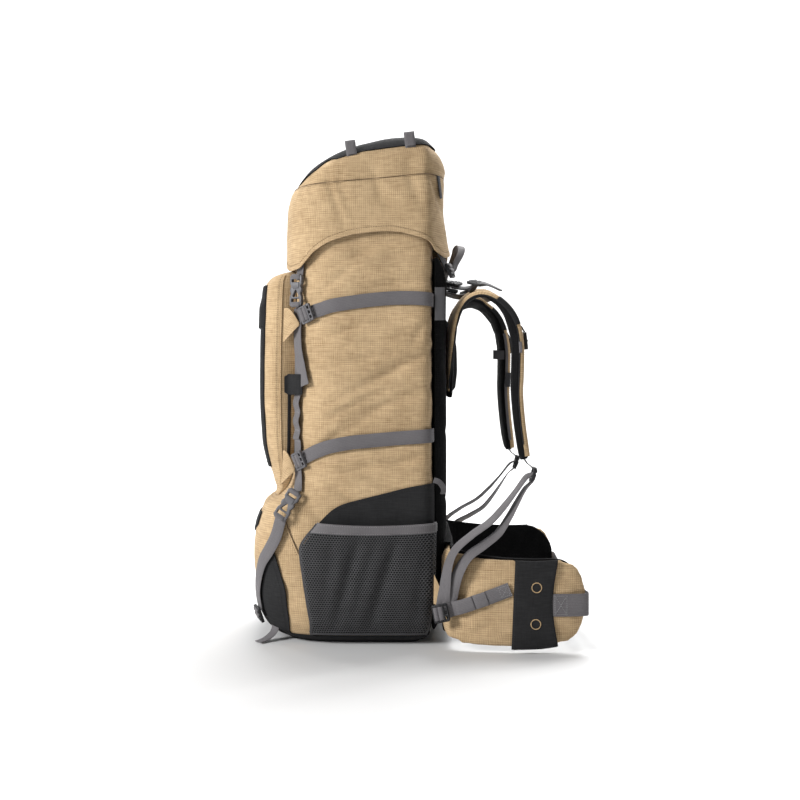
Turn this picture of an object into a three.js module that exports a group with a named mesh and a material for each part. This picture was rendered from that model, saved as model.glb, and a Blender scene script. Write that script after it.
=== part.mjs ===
// A trekking backpack that stands on its base: a hollow bag under a hooded lid, with a front pocket,
// two mesh side pockets, a padded harness and hip belt, and the webbing and buckles that tie them together.
// Millimetres, +Z up. +X points from the pack to the wearer, and the wearer's right side is -Y.
// The origin lies on the floor under the middle of the whole pack.
import * as THREE from "three";

// Driving sizes
const BAG_AXIS_X = -80; // the upright axis that the bag's sections are drawn around
const FRONT_POWER = 3.2; // roundness of the sections: 2 is an ellipse, more is boxier
const BACK_POWER = 9;
const CLOTH = 2;
const WEB = 1.5; // webbing thickness
const WEB_WIDTH = 20;
const GAP = 0.4; // clearance between a piece and what it lies on
const BAG_RIM_Z = 652;
const BASE_LIP_Z = 13;
const PAD_RISE = 14; // how far the back panel stands off the bag
const PAD_SPAN = 53; // half of the angle that the back panel covers, in degrees
const PAD_LOW_Z = 15;
const PAD_HIGH_Z = 570;
const STRAP_THICK = 17;
const BELT_THICK = 16;
const BELT_WEB_WIDTH = 32;
const BELT_WEB_Z = 72;
const LOCK = { length: 23, width: 26, thick: 4.5, bar: 3.6 };
const CLASP = { length: 48, width: 24, thick: 7, slot: 9, rim: 3.5 };
const SIDE_STRAP_ANGLE = 127; // where the upright side strap runs round the bag, in degrees from the back

// Bag sections from the floor up: how far it reaches to the front and back, and half its width
const BAG_SECTIONS = [
  { z: 2.6, front: -196, back: 6, half: 118 },
  { z: 8, front: -208, back: 16, half: 130 },
  { z: 20, front: -222, back: 22, half: 140 },
  { z: 45, front: -236, back: 25, half: 149 },
  { z: 85, front: -243.2, back: 26.5, half: 154 },
  { z: 130, front: -245.9, back: 26.5, half: 157 },
  { z: 170, front: -241, back: 26.5, half: 158 },
  { z: 195, front: -232.5, back: 26.5, half: 158 },
  { z: 212, front: -217, back: 26.5, half: 158 },
  { z: 228, front: -199, back: 26.5, half: 158 },
  { z: 250, front: -191, back: 26.5, half: 158 },
  { z: 320, front: -189.5, back: 26.5, half: 158 },
  { z: 430, front: -189.5, back: 26.5, half: 157 },
  { z: 520, front: -188, back: 26.5, half: 152 },
  { z: 580, front: -186, back: 26, half: 146 },
  { z: 620, front: -183, back: 25, half: 142 },
  { z: 652, front: -179, back: 23, half: 137 },
];

// Hollows that the compression straps pull into the bag's sides, at the back and front end of each strap
const CINCHES = [
  { backZ: 509, frontZ: 487, depth: 3.4, spread: 22 },
  { backZ: 306, frontZ: 278, depth: 3.4, spread: 22 },
];

// Slanting folds on the bag's sides: middle, rise in degrees towards the back, half length and width, height
const FOLDS = [
  { x: -60, z: 430, rise: 20, long: 95, wide: 24, high: 3 },
  { x: -100, z: 362, rise: 28, long: 80, wide: 22, high: 3 },
  { x: -60, z: 550, rise: 12, long: 90, wide: 24, high: 2.5 },
  { x: -95, z: 240, rise: -26, long: 60, wide: 22, high: 2.5 },
];

// Lid sections: the skirt hangs over the bag, and over the top of the back panel
const LID_SECTIONS = [
  { z: 545, front: -195, back: 52, half: 154.5 },
  { z: 568, front: -196, back: 50, half: 152.5 },
  { z: 594, front: -196.5, back: 47, half: 150 },
  { z: 621, front: -196.5, back: 45, half: 148.5 },
  { z: 645, front: -195.5, back: 43, half: 146 },
  { z: 660, front: -192.5, back: 43, half: 145 },
  { z: 690, front: -184, back: 43, half: 142 },
];
// Height of the lid's hem round the bag, by angle from the back
const LID_HEM = [
  { angle: 0, z: 588 },
  { angle: 30, z: 585 },
  { angle: 46, z: 571 },
  { angle: 53, z: 580 },
  { angle: 60, z: 594 },
  { angle: 74, z: 603 },
  { angle: 90, z: 600 },
  { angle: 106, z: 589 },
  { angle: 115, z: 575 },
  { angle: 121, z: 560 },
  { angle: 126, z: 551 },
  { angle: 135, z: 549 },
  { angle: 143, z: 553 },
  { angle: 156, z: 562 },
  { angle: 180, z: 568 },
];
// Seam between the lid's skirt and its pocket, and the crown of the pocket, from front to back
const LID_SEAM = [
  { x: -193, z: 671 },
  { x: -106, z: 677 },
  { x: -30, z: 684 },
  { x: 10, z: 687 },
  { x: 46, z: 687 },
];
const LID_CROWN = [
  { x: -193, z: 674 },
  { x: -180, z: 684 },
  { x: -160, z: 704 },
  { x: -136, z: 720 },
  { x: -108, z: 735 },
  { x: -77, z: 746 },
  { x: -31, z: 754 },
  { x: 8, z: 756 },
  { x: 26, z: 751 },
  { x: 46, z: 734 },
];
const LID_DOME_POWER = 4.2;

// Front pocket: how far it bulges from the bag, and half the angle it covers, by height
const POCKET_SECTIONS = [
  { z: 218, depth: 5, span: 38 },
  { z: 240, depth: 26, span: 42 },
  { z: 264, depth: 37, span: 44.5 },
  { z: 300, depth: 45, span: 46 },
  { z: 380, depth: 49, span: 46.5 },
  { z: 460, depth: 48, span: 46.5 },
  { z: 505, depth: 46, span: 46.5 },
  { z: 527, depth: 40, span: 46 },
  { z: 541, depth: 24, span: 44.5 },
  { z: 547, depth: 5, span: 42 },
];
const POCKET_POWER = 4;

// Upper edge of the dark cloth round the front of the lower compartment, by angle from the back
const BOOT_EDGE = [
  { angle: 128.3, z: 50 },
  { angle: 130.3, z: 105 },
  { angle: 133.5, z: 139 },
  { angle: 137.5, z: 137 },
  { angle: 142, z: 118 },
  { angle: 147.5, z: 86 },
  { angle: 156, z: 72 },
  { angle: 180, z: 68 },
];

// Dark side panel behind the mesh pocket: upper edge by angle from the back
const SIDE_PANEL_EDGE = [
  { angle: 57, z: 236 },
  { angle: 80, z: 222 },
  { angle: 98, z: 209 },
  { angle: 105, z: 198 },
  { angle: 112, z: 178 },
  { angle: 121, z: 142 },
];
const MESH_FRONT = [
  { z: 14, angle: 120.5 },
  { z: 140, angle: 120.5 },
  { z: 178, angle: 111.5 },
];
const MESH_BACK_ANGLE = 58;
const MESH_TOP_Z = 178;
const MESH_BULGE = 14;

// Middle line of the shoulder strap on the wearer's right, from its root on the yoke, with its width
const SHOULDER_ROUTE = [
  { x: 52, y: -62.2, z: 364, width: 44 },
  { x: 52, y: -62.2, z: 384, width: 60 },
  { x: 53.5, y: -65, z: 430, width: 63 },
  { x: 58, y: -74, z: 470, width: 64 },
  { x: 70, y: -90, z: 499, width: 65 },
  { x: 87, y: -103, z: 513, width: 66 },
  { x: 104, y: -112, z: 515, width: 66 },
  { x: 121, y: -117, z: 507, width: 66 },
  { x: 137, y: -119, z: 490, width: 66 },
  { x: 147, y: -119, z: 467, width: 65 },
  { x: 152, y: -118, z: 438, width: 64 },
  { x: 152, y: -117, z: 400, width: 62 },
  { x: 151, y: -117, z: 365, width: 60 },
  { x: 154, y: -119, z: 325, width: 57 },
  { x: 158.5, y: -122, z: 290, width: 52 },
  { x: 161, y: -124, z: 270, width: 34 },
];

// Hip belt in plan from the middle of the back to the tip of the right wing, with its lower and upper edge
const BELT_ROUTE = [
  { x: 48.9, y: 0, low: 28, high: 150 },
  { x: 48.9, y: -70, low: 28, high: 150 },
  { x: 48.4, y: -125, low: 27, high: 149 },
  { x: 52, y: -150, low: 22, high: 147 },
  { x: 66, y: -168, low: 13, high: 143 },
  { x: 92, y: -180, low: 5, high: 138 },
  { x: 130, y: -185.5, low: 0.5, high: 134 },
  { x: 170, y: -187, low: 0.5, high: 133 },
  { x: 205, y: -186, low: 2, high: 131 },
  { x: 226, y: -183.5, low: 12, high: 122 },
  { x: 237, y: -181.5, low: 32, high: 106 },
  { x: 242, y: -180.5, low: 55, high: 84 },
];

// Webbing that runs free of the bag, on the wearer's right: middle line, and the way its width points
const ADJUSTER_ROUTE = [
  { x: 39.5, y: -174, z: 72, ax: 0.8, ay: -0.55, az: 0 },
  { x: 41, y: -176, z: 86.7, ax: 0.75, ay: -0.6, az: 0 },
  { x: 46.4, y: -180, z: 124.6, ax: 0.5, ay: -0.8, az: -0.2 },
  { x: 55.8, y: -176, z: 144.5, ax: 0.3, ay: -0.9, az: -0.3 },
  { x: 78.8, y: -166, z: 163.6, ax: 0.22, ay: -0.93, az: -0.28 },
  { x: 108, y: -152, z: 182.5, ax: 0.24, ay: -0.93, az: -0.24 },
  { x: 127.8, y: -142, z: 202, ax: 0.22, ay: -0.94, az: -0.22 },
  { x: 147.8, y: -133, z: 226, ax: 0.15, ay: -0.96, az: -0.15 },
  { x: 164, y: -128, z: 241, ax: 0.05, ay: -1, az: -0.05 },
  { x: 173, y: -126, z: 246.4, ax: 0, ay: -1, az: 0 },
  { x: 174, y: -128, z: 239, ax: 0, ay: -1, az: 0 },
  { x: 162, y: -133, z: 225, ax: 0.1, ay: -0.98, az: -0.1 },
  { x: 147, y: -140, z: 205.7, ax: 0.18, ay: -0.95, az: -0.18 },
  { x: 134.6, y: -150, z: 187.8, ax: 0.24, ay: -0.93, az: -0.24 },
  { x: 118.6, y: -162, z: 166.8, ax: 0.28, ay: -0.9, az: -0.3 },
  { x: 97, y: -176, z: 151.6, ax: 0.3, ay: -0.87, az: -0.36 },
  { x: 74.9, y: -189, z: 136.5, ax: 0.4, ay: -0.8, az: -0.36 },
  { x: 62, y: -190, z: 116.7, ax: 0.62, ay: -0.68, az: -0.25 },
  { x: 55.7, y: -187, z: 95.7, ax: 0.75, ay: -0.6, az: -0.1 },
  { x: 51.3, y: -182, z: 76, ax: 0.78, ay: -0.6, az: 0 },
];
const LIFTER_ROUTE = [
  { x: 40.9, y: -74, z: 546, ax: 0, ay: 1, az: 0 },
  { x: 43, y: -74.5, z: 536, ax: 0, ay: 1, az: 0 },
  { x: 58, y: -79, z: 528, ax: 0, ay: 1, az: 0 },
  { x: 74, y: -89, z: 528, ax: 0, ay: 1, az: 0 },
  { x: 86, y: -98, z: 530.6, ax: 0, ay: 1, az: 0 },
  { x: 112, y: -111, z: 530.4, ax: 0, ay: 1, az: 0 },
  { x: 126, y: -114, z: 527, ax: 0, ay: 1, az: 0 },
  { x: 140, y: -117, z: 518, ax: 0, ay: 1, az: 0 },
];
const LID_REAR_ROUTE = [
  { x: 34, y: -106, z: 591, ax: 0, ay: 1, az: 0 },
  { x: 37, y: -106, z: 580, ax: 0, ay: 1, az: 0 },
  { x: 46, y: -105, z: 567, ax: 0, ay: 1, az: 0 },
  { x: 50.5, y: -104, z: 557, ax: 0, ay: 1, az: 0 },
  { x: 51, y: -102, z: 547, ax: 0, ay: 1, az: 0 },
  { x: 46, y: -100, z: 533, ax: 0, ay: 1, az: 0 },
  { x: 39.9, y: -99, z: 521, ax: 0, ay: 1, az: 0 },
];
const HANDLE_ROUTE = [
  { x: 40.9, y: -46, z: 545, ax: 0, ay: 1, az: 0 },
  { x: 43, y: -45.5, z: 557, ax: 0.4, ay: 0.9, az: 0 },
  { x: 54, y: -41, z: 574, ax: 0.9, ay: 0.4, az: 0 },
  { x: 64, y: -27, z: 591, ax: 0.95, ay: 0.2, az: -0.2 },
  { x: 69, y: 0, z: 599, ax: 0.95, ay: 0, az: -0.3 },
  { x: 64, y: 27, z: 591, ax: 0.95, ay: -0.2, az: -0.2 },
  { x: 54, y: 41, z: 574, ax: 0.9, ay: -0.4, az: 0 },
  { x: 43, y: 45.5, z: 557, ax: 0.4, ay: -0.9, az: 0 },
  { x: 40.9, y: 46, z: 545, ax: 0, ay: -1, az: 0 },
];
const BELT_WEB_ROUTE = [
  { x: 197, y: -195.9, z: BELT_WEB_Z, ax: 0, ay: 0, az: 1 },
  { x: 218, y: -194.9, z: BELT_WEB_Z, ax: 0, ay: 0, az: 1 },
  { x: 235, y: -193, z: BELT_WEB_Z, ax: 0, ay: 0, az: 1 },
  { x: 242.4, y: -189.5, z: BELT_WEB_Z, ax: 0, ay: 0, az: 1 },
  { x: 244.7, y: -183, z: BELT_WEB_Z, ax: 0, ay: 0, az: 1 },
  { x: 244.7, y: -168, z: BELT_WEB_Z - 1, ax: 0, ay: 0, az: 1 },
  { x: 244, y: -110, z: BELT_WEB_Z - 5, ax: 0, ay: 0, az: 1 },
  { x: 242, y: -33, z: BELT_WEB_Z - 8, ax: 0, ay: 0, az: 1 },
];
const BASE_TAIL_ROUTE = [
  { x: -222, y: -102, z: 21 },
  { x: -214, y: -106, z: 9 },
  { x: -216, y: -113, z: 3.4 },
  { x: -226, y: -121, z: 2.2 },
  { x: -236, y: -128, z: 2 },
];

// Straps laid on the bag, on the wearer's right: angle from the back, and height
const UPPER_STRAP = [
  { angle: 60, z: 506 },
  { angle: 72, z: 505.7 },
  { angle: 90, z: 501 },
  { angle: 106, z: 494.4 },
  { angle: 114, z: 488.5 },
  { angle: 121, z: 484 },
];
const LOWER_STRAP = [
  { angle: 60, z: 305.5 },
  { angle: 72, z: 302.6 },
  { angle: 90, z: 298 },
  { angle: 106, z: 290.7 },
  { angle: 114, z: 282.5 },
  { angle: 122.4, z: 272.7 },
];
const LID_STRAP = [
  { angle: SIDE_STRAP_ANGLE, z: 572 },
  { angle: SIDE_STRAP_ANGLE, z: 550 },
  { angle: SIDE_STRAP_ANGLE, z: 529 },
];
const SIDE_STRAP = [
  { angle: SIDE_STRAP_ANGLE, z: 507 },
  { angle: SIDE_STRAP_ANGLE, z: 470 },
  { angle: SIDE_STRAP_ANGLE, z: 400 },
  { angle: SIDE_STRAP_ANGLE, z: 330 },
  { angle: SIDE_STRAP_ANGLE, z: 280 },
  { angle: 126.3, z: 255 },
  { angle: 125, z: 240 },
  { angle: 124.4, z: 222 },
];
const BASE_STRAP = [
  { angle: 129, z: 188 },
  { angle: 131.3, z: 159 },
  { angle: 135.3, z: 137 },
  { angle: 139, z: 122 },
  { angle: 143.3, z: 97 },
  { angle: 146.5, z: 71 },
  { angle: 147.7, z: 42 },
];
const DAISY = { highZ: 366, lowZ: 300, waves: 2.5, depth: 1.6 };

// Colours and finishes
const finish = (color, roughness) => new THREE.MeshStandardMaterial({ color, roughness, metalness: 0 });
const TAN = finish(0xc8a877, 0.85);
const BLACK = finish(0x202021, 0.8);
const FOAM = finish(0x161617, 0.95);
const MESH = finish(0x2c2c2d, 0.8);
const GREY = finish(0x78767b, 0.75);
const PLASTIC = finish(0x86868a, 0.5);
const DARK_PLASTIC = finish(0x333335, 0.5);

const radians = THREE.MathUtils.degToRad;
const vector = (x, y, z) => new THREE.Vector3(x, y, z);

// One column of a table at a place between its rows: a cubic that doesn't overshoot the rows
function columnAt(rows, key, at, name) {
  const last = rows.length - 1;
  if (at <= rows[0][key]) return rows[0][name];
  if (at >= rows[last][key]) return rows[last][name];
  const i = rows.findIndex((row) => row[key] > at) - 1;
  const slope = (k) => (rows[k + 1][name] - rows[k][name]) / (rows[k + 1][key] - rows[k][key]);
  const tangent = (k) => {
    if (k === 0) return slope(0);
    if (k === last) return slope(last - 1);
    const [before, after] = [slope(k - 1), slope(k)];
    return before * after <= 0 ? 0 : (2 * before * after) / (before + after);
  };
  const step = rows[i + 1][key] - rows[i][key];
  const t = (at - rows[i][key]) / step;
  const [m0, m1] = [tangent(i) * step, tangent(i + 1) * step];
  const [p0, p1] = [rows[i][name], rows[i + 1][name]];
  return p0 + t * m0 + t * t * (3 * (p1 - p0) - 2 * m0 - m1) + t * t * t * (2 * (p0 - p1) + m0 + m1);
}

// A closed solid from corner points and triangles, with its faces turned outwards
function closedSolid(points, triangles) {
  const keyOf = (p) => p.toArray().map((n) => Math.round(n * 500)).join();
  const first = new Map();
  const same = points.map((p, i) => {
    const key = keyOf(p);
    if (!first.has(key)) first.set(key, i);
    return first.get(key);
  });
  const kept = triangles
    .map((corners) => corners.map((i) => same[i]))
    .filter(([a, b, c]) => a !== b && b !== c && c !== a);
  const volume = kept.reduce(
    (sum, [a, b, c]) => sum + points[a].dot(vector(0, 0, 0).crossVectors(points[b], points[c])),
    0,
  );
  const order = volume < 0 ? ([a, b, c]) => [a, c, b] : (corners) => corners;
  const geometry = new THREE.BufferGeometry().setFromPoints(points);
  geometry.setIndex(kept.flatMap(order));
  geometry.computeVertexNormals();
  return geometry;
}

// A solid skinned over closed rings of equal length, with each end closed to its middle point.
// The second half of each ring is split the other way, so a ring with mirrored halves gives a mirrored skin.
function ringSolid(rings) {
  const count = rings[0].length;
  const middle = (ring) => ring.reduce((sum, p) => sum.add(p), vector(0, 0, 0)).divideScalar(count);
  const points = [...rings.flat(), middle(rings[0]), middle(rings.at(-1))];
  const triangles = [];
  for (let r = 0; r + 1 < rings.length; r++) {
    for (let i = 0; i < count; i++) {
      const [a, b] = [r * count + i, r * count + ((i + 1) % count)];
      if (2 * i < count) triangles.push([a, b, b + count], [a, b + count, a + count]);
      else triangles.push([a, b, a + count], [b, b + count, a + count]);
    }
  }
  const top = (rings.length - 1) * count;
  for (let i = 0; i < count; i++) {
    const next = (i + 1) % count;
    triangles.push([points.length - 2, next, i], [points.length - 1, top + i, top + next]);
  }
  return closedSolid(points, triangles);
}

// A sheet between two heights over a surface: place(u, v, height) gives the point at each u and v.
// Where mirrored is set, its second half is split the other way.
function sheetSolid(place, us, vs, low, high, mirrored = false) {
  const points = [];
  const triangles = [];
  const size = us.length * vs.length;
  for (const height of [low, high]) {
    for (const u of us) points.push(...vs.map((v) => place(u, v, height(u, v))));
  }
  const at = (i, j) => i * vs.length + j;
  const [across, along] = [us.length - 1, vs.length - 1];
  const quad = (a, b, c, d) => triangles.push([a, b, c], [a, c, d]);
  for (let i = 0; i < across; i++) {
    for (let j = 0; j < along; j++) {
      const corners = [at(i, j), at(i + 1, j), at(i + 1, j + 1), at(i, j + 1)];
      if (mirrored && 2 * i >= across) corners.push(corners.shift());
      quad(...corners.map((k) => k + size));
      const [a, b, c, d] = corners;
      quad(a, d, c, b);
    }
  }
  const rim = [];
  for (let i = 0; i < across; i++) rim.push(at(i, 0));
  for (let j = 0; j < along; j++) rim.push(at(across, j));
  for (let i = across; i > 0; i--) rim.push(at(i, along));
  for (let j = along; j > 0; j--) rim.push(at(0, j));
  rim.forEach((k, n) => {
    const next = rim[(n + 1) % rim.length];
    quad(k, next, next + size, k + size);
  });
  return closedSolid(points, triangles);
}

const evenly = (count) => Array.from({ length: count + 1 }, (_, i) => i / count);

// A flat strip along points, each with the way its width points
function stripSolid(points, acrosses, width, thick) {
  const rings = points.map((p, i) => {
    const ahead = points[Math.min(i + 1, points.length - 1)];
    const tangent = ahead.clone().sub(points[Math.max(i - 1, 0)]).normalize();
    const across = acrosses[i].clone().addScaledVector(tangent, -acrosses[i].dot(tangent)).normalize();
    const face = vector(0, 0, 0).crossVectors(tangent, across);
    const corner = (w, t) =>
      p.clone().addScaledVector(across, (w * width) / 2).addScaledVector(face, (t * thick) / 2);
    return [corner(-1, -1), corner(1, -1), corner(1, 1), corner(-1, 1)];
  });
  return ringSolid(rings);
}

// A free strap through the rows of a route
function freeStrap(rows, width, steps) {
  const line = new THREE.CatmullRomCurve3(rows.map((r) => vector(r.x, r.y, r.z)), false, "centripetal");
  const turn = new THREE.CatmullRomCurve3(rows.map((r) => vector(r.ax, r.ay, r.az)), false, "centripetal");
  const places = Array.from({ length: steps + 1 }, (_, i) => i / steps);
  return stripSolid(places.map((t) => line.getPoint(t)), places.map((t) => turn.getPoint(t)), width, WEB);
}

// The bag's outer surface
const bagSection = (z) => ({
  front: columnAt(BAG_SECTIONS, "z", z, "front"),
  back: columnAt(BAG_SECTIONS, "z", z, "back"),
  half: columnAt(BAG_SECTIONS, "z", z, "half"),
});

function sectionRadius(section, angle) {
  const [along, across] = [Math.cos(angle), Math.sin(angle)];
  const reach = along > 0 ? section.back - BAG_AXIS_X : BAG_AXIS_X - section.front;
  const power = along > 0 ? BACK_POWER : FRONT_POWER;
  return (Math.abs(along / reach) ** power + Math.abs(across / section.half) ** power) ** (-1 / power);
}

// Hollows under the straps and folds between them, on the two sides of the bag
function bagRelief(angle, x, z) {
  const side = THREE.MathUtils.smoothstep(Math.abs(Math.sin(angle)), 0.72, 0.95);
  let rise = 0;
  for (const c of CINCHES) {
    const lineZ = THREE.MathUtils.mapLinear(x, 26, -150, c.backZ, c.frontZ);
    rise -= c.depth * Math.exp(-(((z - lineZ) / c.spread) ** 2));
  }
  for (const f of FOLDS) {
    const [cos, sin] = [Math.cos(radians(f.rise)), Math.sin(radians(f.rise))];
    const along = (x - f.x) * cos + (z - f.z) * sin;
    const across = (z - f.z) * cos - (x - f.x) * sin;
    rise += f.high * Math.exp(-((along / f.long) ** 2) - (across / f.wide) ** 2);
  }
  return side * rise;
}

function smoothRadius(angle, z) {
  const plain = sectionRadius(bagSection(z), angle);
  return plain + bagRelief(angle, BAG_AXIS_X + plain * Math.cos(angle), z);
}

// Angles round the bag in degrees, closer together at its corners, and the heights of its rings,
// closer together in the round of its base and at the fold above it
const HALF_RING = [0, 24, 42, 51, 58, 70, 90, 107, 116, 123, 129, 136, 146, 161, 180];
const RING_DEGREES = [...HALF_RING, ...HALF_RING.slice(1, -1).reverse().map((a) => 360 - a)];
const RING_ANGLES = RING_DEGREES.map(radians);
const BAG_LEVELS = [
  2.6, 8, 20, 45, 85, 130, 170, 195, 212, 230, 250, 280, 310, 345, 380, 420, 460, 495, 530, 570, 610,
  BAG_RIM_Z,
];
const polar = (radius, angle, z) =>
  vector(BAG_AXIS_X + radius * Math.cos(angle), radius * Math.sin(angle), z);
const BAG_GRID = BAG_LEVELS.map((z) => RING_ANGLES.map((a) => polar(smoothRadius(a, z), a, z)));

// The level way out of a section at an angle
function levelNormal(radiusAt, angle) {
  const step = 0.01;
  const before = polar(radiusAt(angle - step), angle - step, 0);
  const after = polar(radiusAt(angle + step), angle + step, 0);
  const tangent = after.sub(before).normalize();
  return vector(tangent.y, -tangent.x, 0);
}

// A point at a height over the bag's surface, by angle from the back and height above the floor. It lies
// between the corners of the bag's grid, so that whatever lies on the bag follows its facets.
function bagPoint(angle, z, height) {
  const degrees = THREE.MathUtils.euclideanModulo(THREE.MathUtils.radToDeg(angle), 360);
  const next = RING_DEGREES.findIndex((d) => d > degrees + 1e-9);
  const [i, k] = next < 0 ? [RING_DEGREES.length - 1, 0] : [next - 1, next];
  const t = (degrees - RING_DEGREES[i]) / ((next < 0 ? 360 : RING_DEGREES[k]) - RING_DEGREES[i]);
  const r = THREE.MathUtils.clamp(BAG_LEVELS.findIndex((l) => l >= z), 1, BAG_LEVELS.length - 1);
  const v = (z - BAG_LEVELS[r - 1]) / (BAG_LEVELS[r] - BAG_LEVELS[r - 1]);
  const along = (row) => row[i].clone().lerp(row[k], t);
  const out = levelNormal((a) => smoothRadius(a, z), angle);
  return along(BAG_GRID[r - 1]).lerp(along(BAG_GRID[r]), v).addScaledVector(out, height);
}

// The rows and columns of the bag's grid inside a stretch, with the ends of the stretch
const within = (list, low, high) => [low, ...list.filter((n) => n > low + 1e-3 && n < high - 1e-3), high];

// A skin on the bag between two edges that change with the angle from the back
function skinSolid(point, columns, lowEdge, highEdge, height, mirrored = false) {
  const place = (degrees, level, rise) => {
    const z = THREE.MathUtils.clamp(level, lowEdge(degrees), highEdge(degrees));
    return point(degrees, z, rise);
  };
  const lowest = Math.min(...columns.map(lowEdge));
  const highest = Math.max(...columns.map(highEdge));
  const levels = within(BAG_LEVELS, lowest, highest);
  return sheetSolid(place, columns, levels, () => height, () => height + WEB, mirrored);
}

function bagSolid() {
  const outer = BAG_LEVELS.map((z) => RING_ANGLES.map((a) => bagPoint(a, z, 0)));
  const inner = BAG_LEVELS.map((z, i) => {
    const level = i === 0 ? z + CLOTH : z;
    return RING_ANGLES.map((a) => bagPoint(a, z, -CLOTH).setZ(level));
  });
  return ringSolid([...outer, ...inner.reverse()]);
}

// The cup that the pack stands on: a flat floor with a low lip round the bag
function baseSolid() {
  const lip = [BAG_LEVELS[0], BAG_LEVELS[1], BASE_LIP_Z];
  const foot = RING_ANGLES.map((a) => bagPoint(a, lip[0], GAP).setZ(0));
  const outer = lip.map((z) => RING_ANGLES.map((a) => bagPoint(a, z, GAP + CLOTH)));
  const inner = lip.map((z) => RING_ANGLES.map((a) => bagPoint(a, z, GAP))).reverse();
  const floor = RING_ANGLES.map((a) => bagPoint(a, lip[0], GAP).setZ(lip[0] - GAP));
  return ringSolid([foot, ...outer, ...inner, floor]);
}

// The lid's surface: level 0 to 1 runs up the skirt, 1 to 2 over the dome
function lidPoint(angle, level, height) {
  const sectionAt = (z) => ({
    front: columnAt(LID_SECTIONS, "z", z, "front"),
    back: columnAt(LID_SECTIONS, "z", z, "back"),
    half: columnAt(LID_SECTIONS, "z", z, "half"),
  });
  const turned = Math.abs(THREE.MathUtils.radToDeg(Math.atan2(Math.sin(angle), Math.cos(angle))));
  const hemZ = columnAt(LID_HEM, "angle", turned, "z");
  const seamSection = sectionAt(LID_SECTIONS.at(-1).z);
  const seamRadius = (a) => sectionRadius(seamSection, a);
  const seamX = BAG_AXIS_X + seamRadius(angle) * Math.cos(angle);
  const seamZ = columnAt(LID_SEAM, "x", seamX, "z");
  if (level <= 1) {
    const z = hemZ + (seamZ - hemZ) * level;
    const radiusAt = (a) => sectionRadius(sectionAt(z), a);
    return polar(radiusAt(angle), angle, z).addScaledVector(levelNormal(radiusAt, angle), height);
  }
  const lift = (level - 1) * (Math.PI / 2);
  const shrink = Math.max(Math.cos(lift), 0) ** (2 / LID_DOME_POWER);
  const rise = Math.sin(lift) ** (2 / LID_DOME_POWER);
  const place = polar(seamRadius(angle) * shrink, angle, 0);
  const localSeam = columnAt(LID_SEAM, "x", place.x, "z");
  const crown = columnAt(LID_CROWN, "x", place.x, "z");
  place.z = localSeam + (crown - localSeam) * rise + height * rise;
  return place.addScaledVector(levelNormal(seamRadius, angle), height * shrink * (1 - rise * 0.5));
}

function lidSolid() {
  const levels = [0, 0.33, 0.67, 1, 1.22, 1.45, 1.68, 1.88];
  const ring = (height) => (level) => RING_ANGLES.map((a) => lidPoint(a, level, height));
  const outer = levels.map(ring(0));
  const inner = levels.map(ring(-CLOTH));
  return ringSolid([...inner.reverse(), ...outer]);
}

// The dark top of the lid, laid over its dome
function lidTopSolid() {
  const ring = (height) => (t) => RING_ANGLES.map((a) => lidPoint(a, 1 + t, height));
  const turns = [0.68, 0.88];
  const under = turns.map(ring(GAP + 0.3)).reverse();
  const over = turns.map(ring(GAP + 0.3 + WEB));
  return ringSolid([...under, ...over]);
}

// The front pocket's outer surface: u across it and v up it, both from 0 to 1
function pocketDepth(u, v) {
  const z = pocketHeight(v);
  const side = Math.max(1 - Math.abs(2 * u - 1) ** POCKET_POWER, 0) ** (1 / POCKET_POWER);
  return GAP + CLOTH + (columnAt(POCKET_SECTIONS, "z", z, "depth") - CLOTH) * side;
}
const pocketHeight = (v) => THREE.MathUtils.lerp(POCKET_SECTIONS[0].z, POCKET_SECTIONS.at(-1).z, v);

// Steps across the pocket crowd towards its steep sides, and steps up it towards its round ends
const crowd = (t) => 0.5 - 0.5 * Math.cos(Math.PI * t);

function pocketPoint(u, v, height) {
  const z = pocketHeight(v);
  const span = columnAt(POCKET_SECTIONS, "z", z, "span");
  return bagPoint(radians(180 - span + 2 * span * u), z, height);
}

const POCKET_COLUMNS = evenly(10).map(crowd);
const POCKET_ROWS = evenly(10).map(crowd);

function frontPocketSolid() {
  const under = (u, v) => Math.max(pocketDepth(u, v) - CLOTH, GAP);
  return sheetSolid(pocketPoint, POCKET_COLUMNS, POCKET_ROWS, under, pocketDepth, true);
}

// The dark middle panel of the front pocket
function frontPanelSolid() {
  const place = (u, v, height) => pocketPoint(u, v, pocketDepth(u, v) + height);
  const rows = within(POCKET_ROWS, 0.13, 0.955);
  return sheetSolid(place, POCKET_COLUMNS.slice(3, -3), rows, () => 0.7, () => 0.7 + WEB, true);
}

// Dark cloth over the front corners of the lower compartment, and a flap at the top of its front
function frontBootSolid() {
  const highEdge = (d) => columnAt(BOOT_EDGE, "angle", d <= 180 ? d : 360 - d, "z");
  const point = (degrees, z, height) => bagPoint(radians(degrees), z, height);
  const half = [128.3, 129, 130, 131.5, 133.5, ...within(HALF_RING, 136, 180).slice(0, -1)];
  const columns = [...half, 180, ...half.map((d) => 360 - d).reverse()];
  return skinSolid(point, columns, () => BASE_LIP_Z + 1, highEdge, GAP + 0.7, true);
}

function lowerFlapSolid() {
  const lowEdge = (d) => 150 + 20 * ((d - 180) / 30) ** 2;
  const point = (degrees, z, height) => bagPoint(radians(degrees), z, height);
  return skinSolid(point, within(RING_DEGREES, 150, 210), lowEdge, () => 189, GAP + 0.2, true);
}

// On the wearer's right, an angle from the back is counted towards -Y
const rightPoint = (degrees, z, height) => bagPoint(radians(-degrees), z, height);

function sidePanelSolid() {
  const highEdge = (d) => columnAt(SIDE_PANEL_EDGE, "angle", d, "z");
  const columns = within(HALF_RING, MESH_BACK_ANGLE, 121);
  return skinSolid(rightPoint, columns, () => BASE_LIP_Z + 1.5, highEdge, GAP + 0.3);
}

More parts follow.
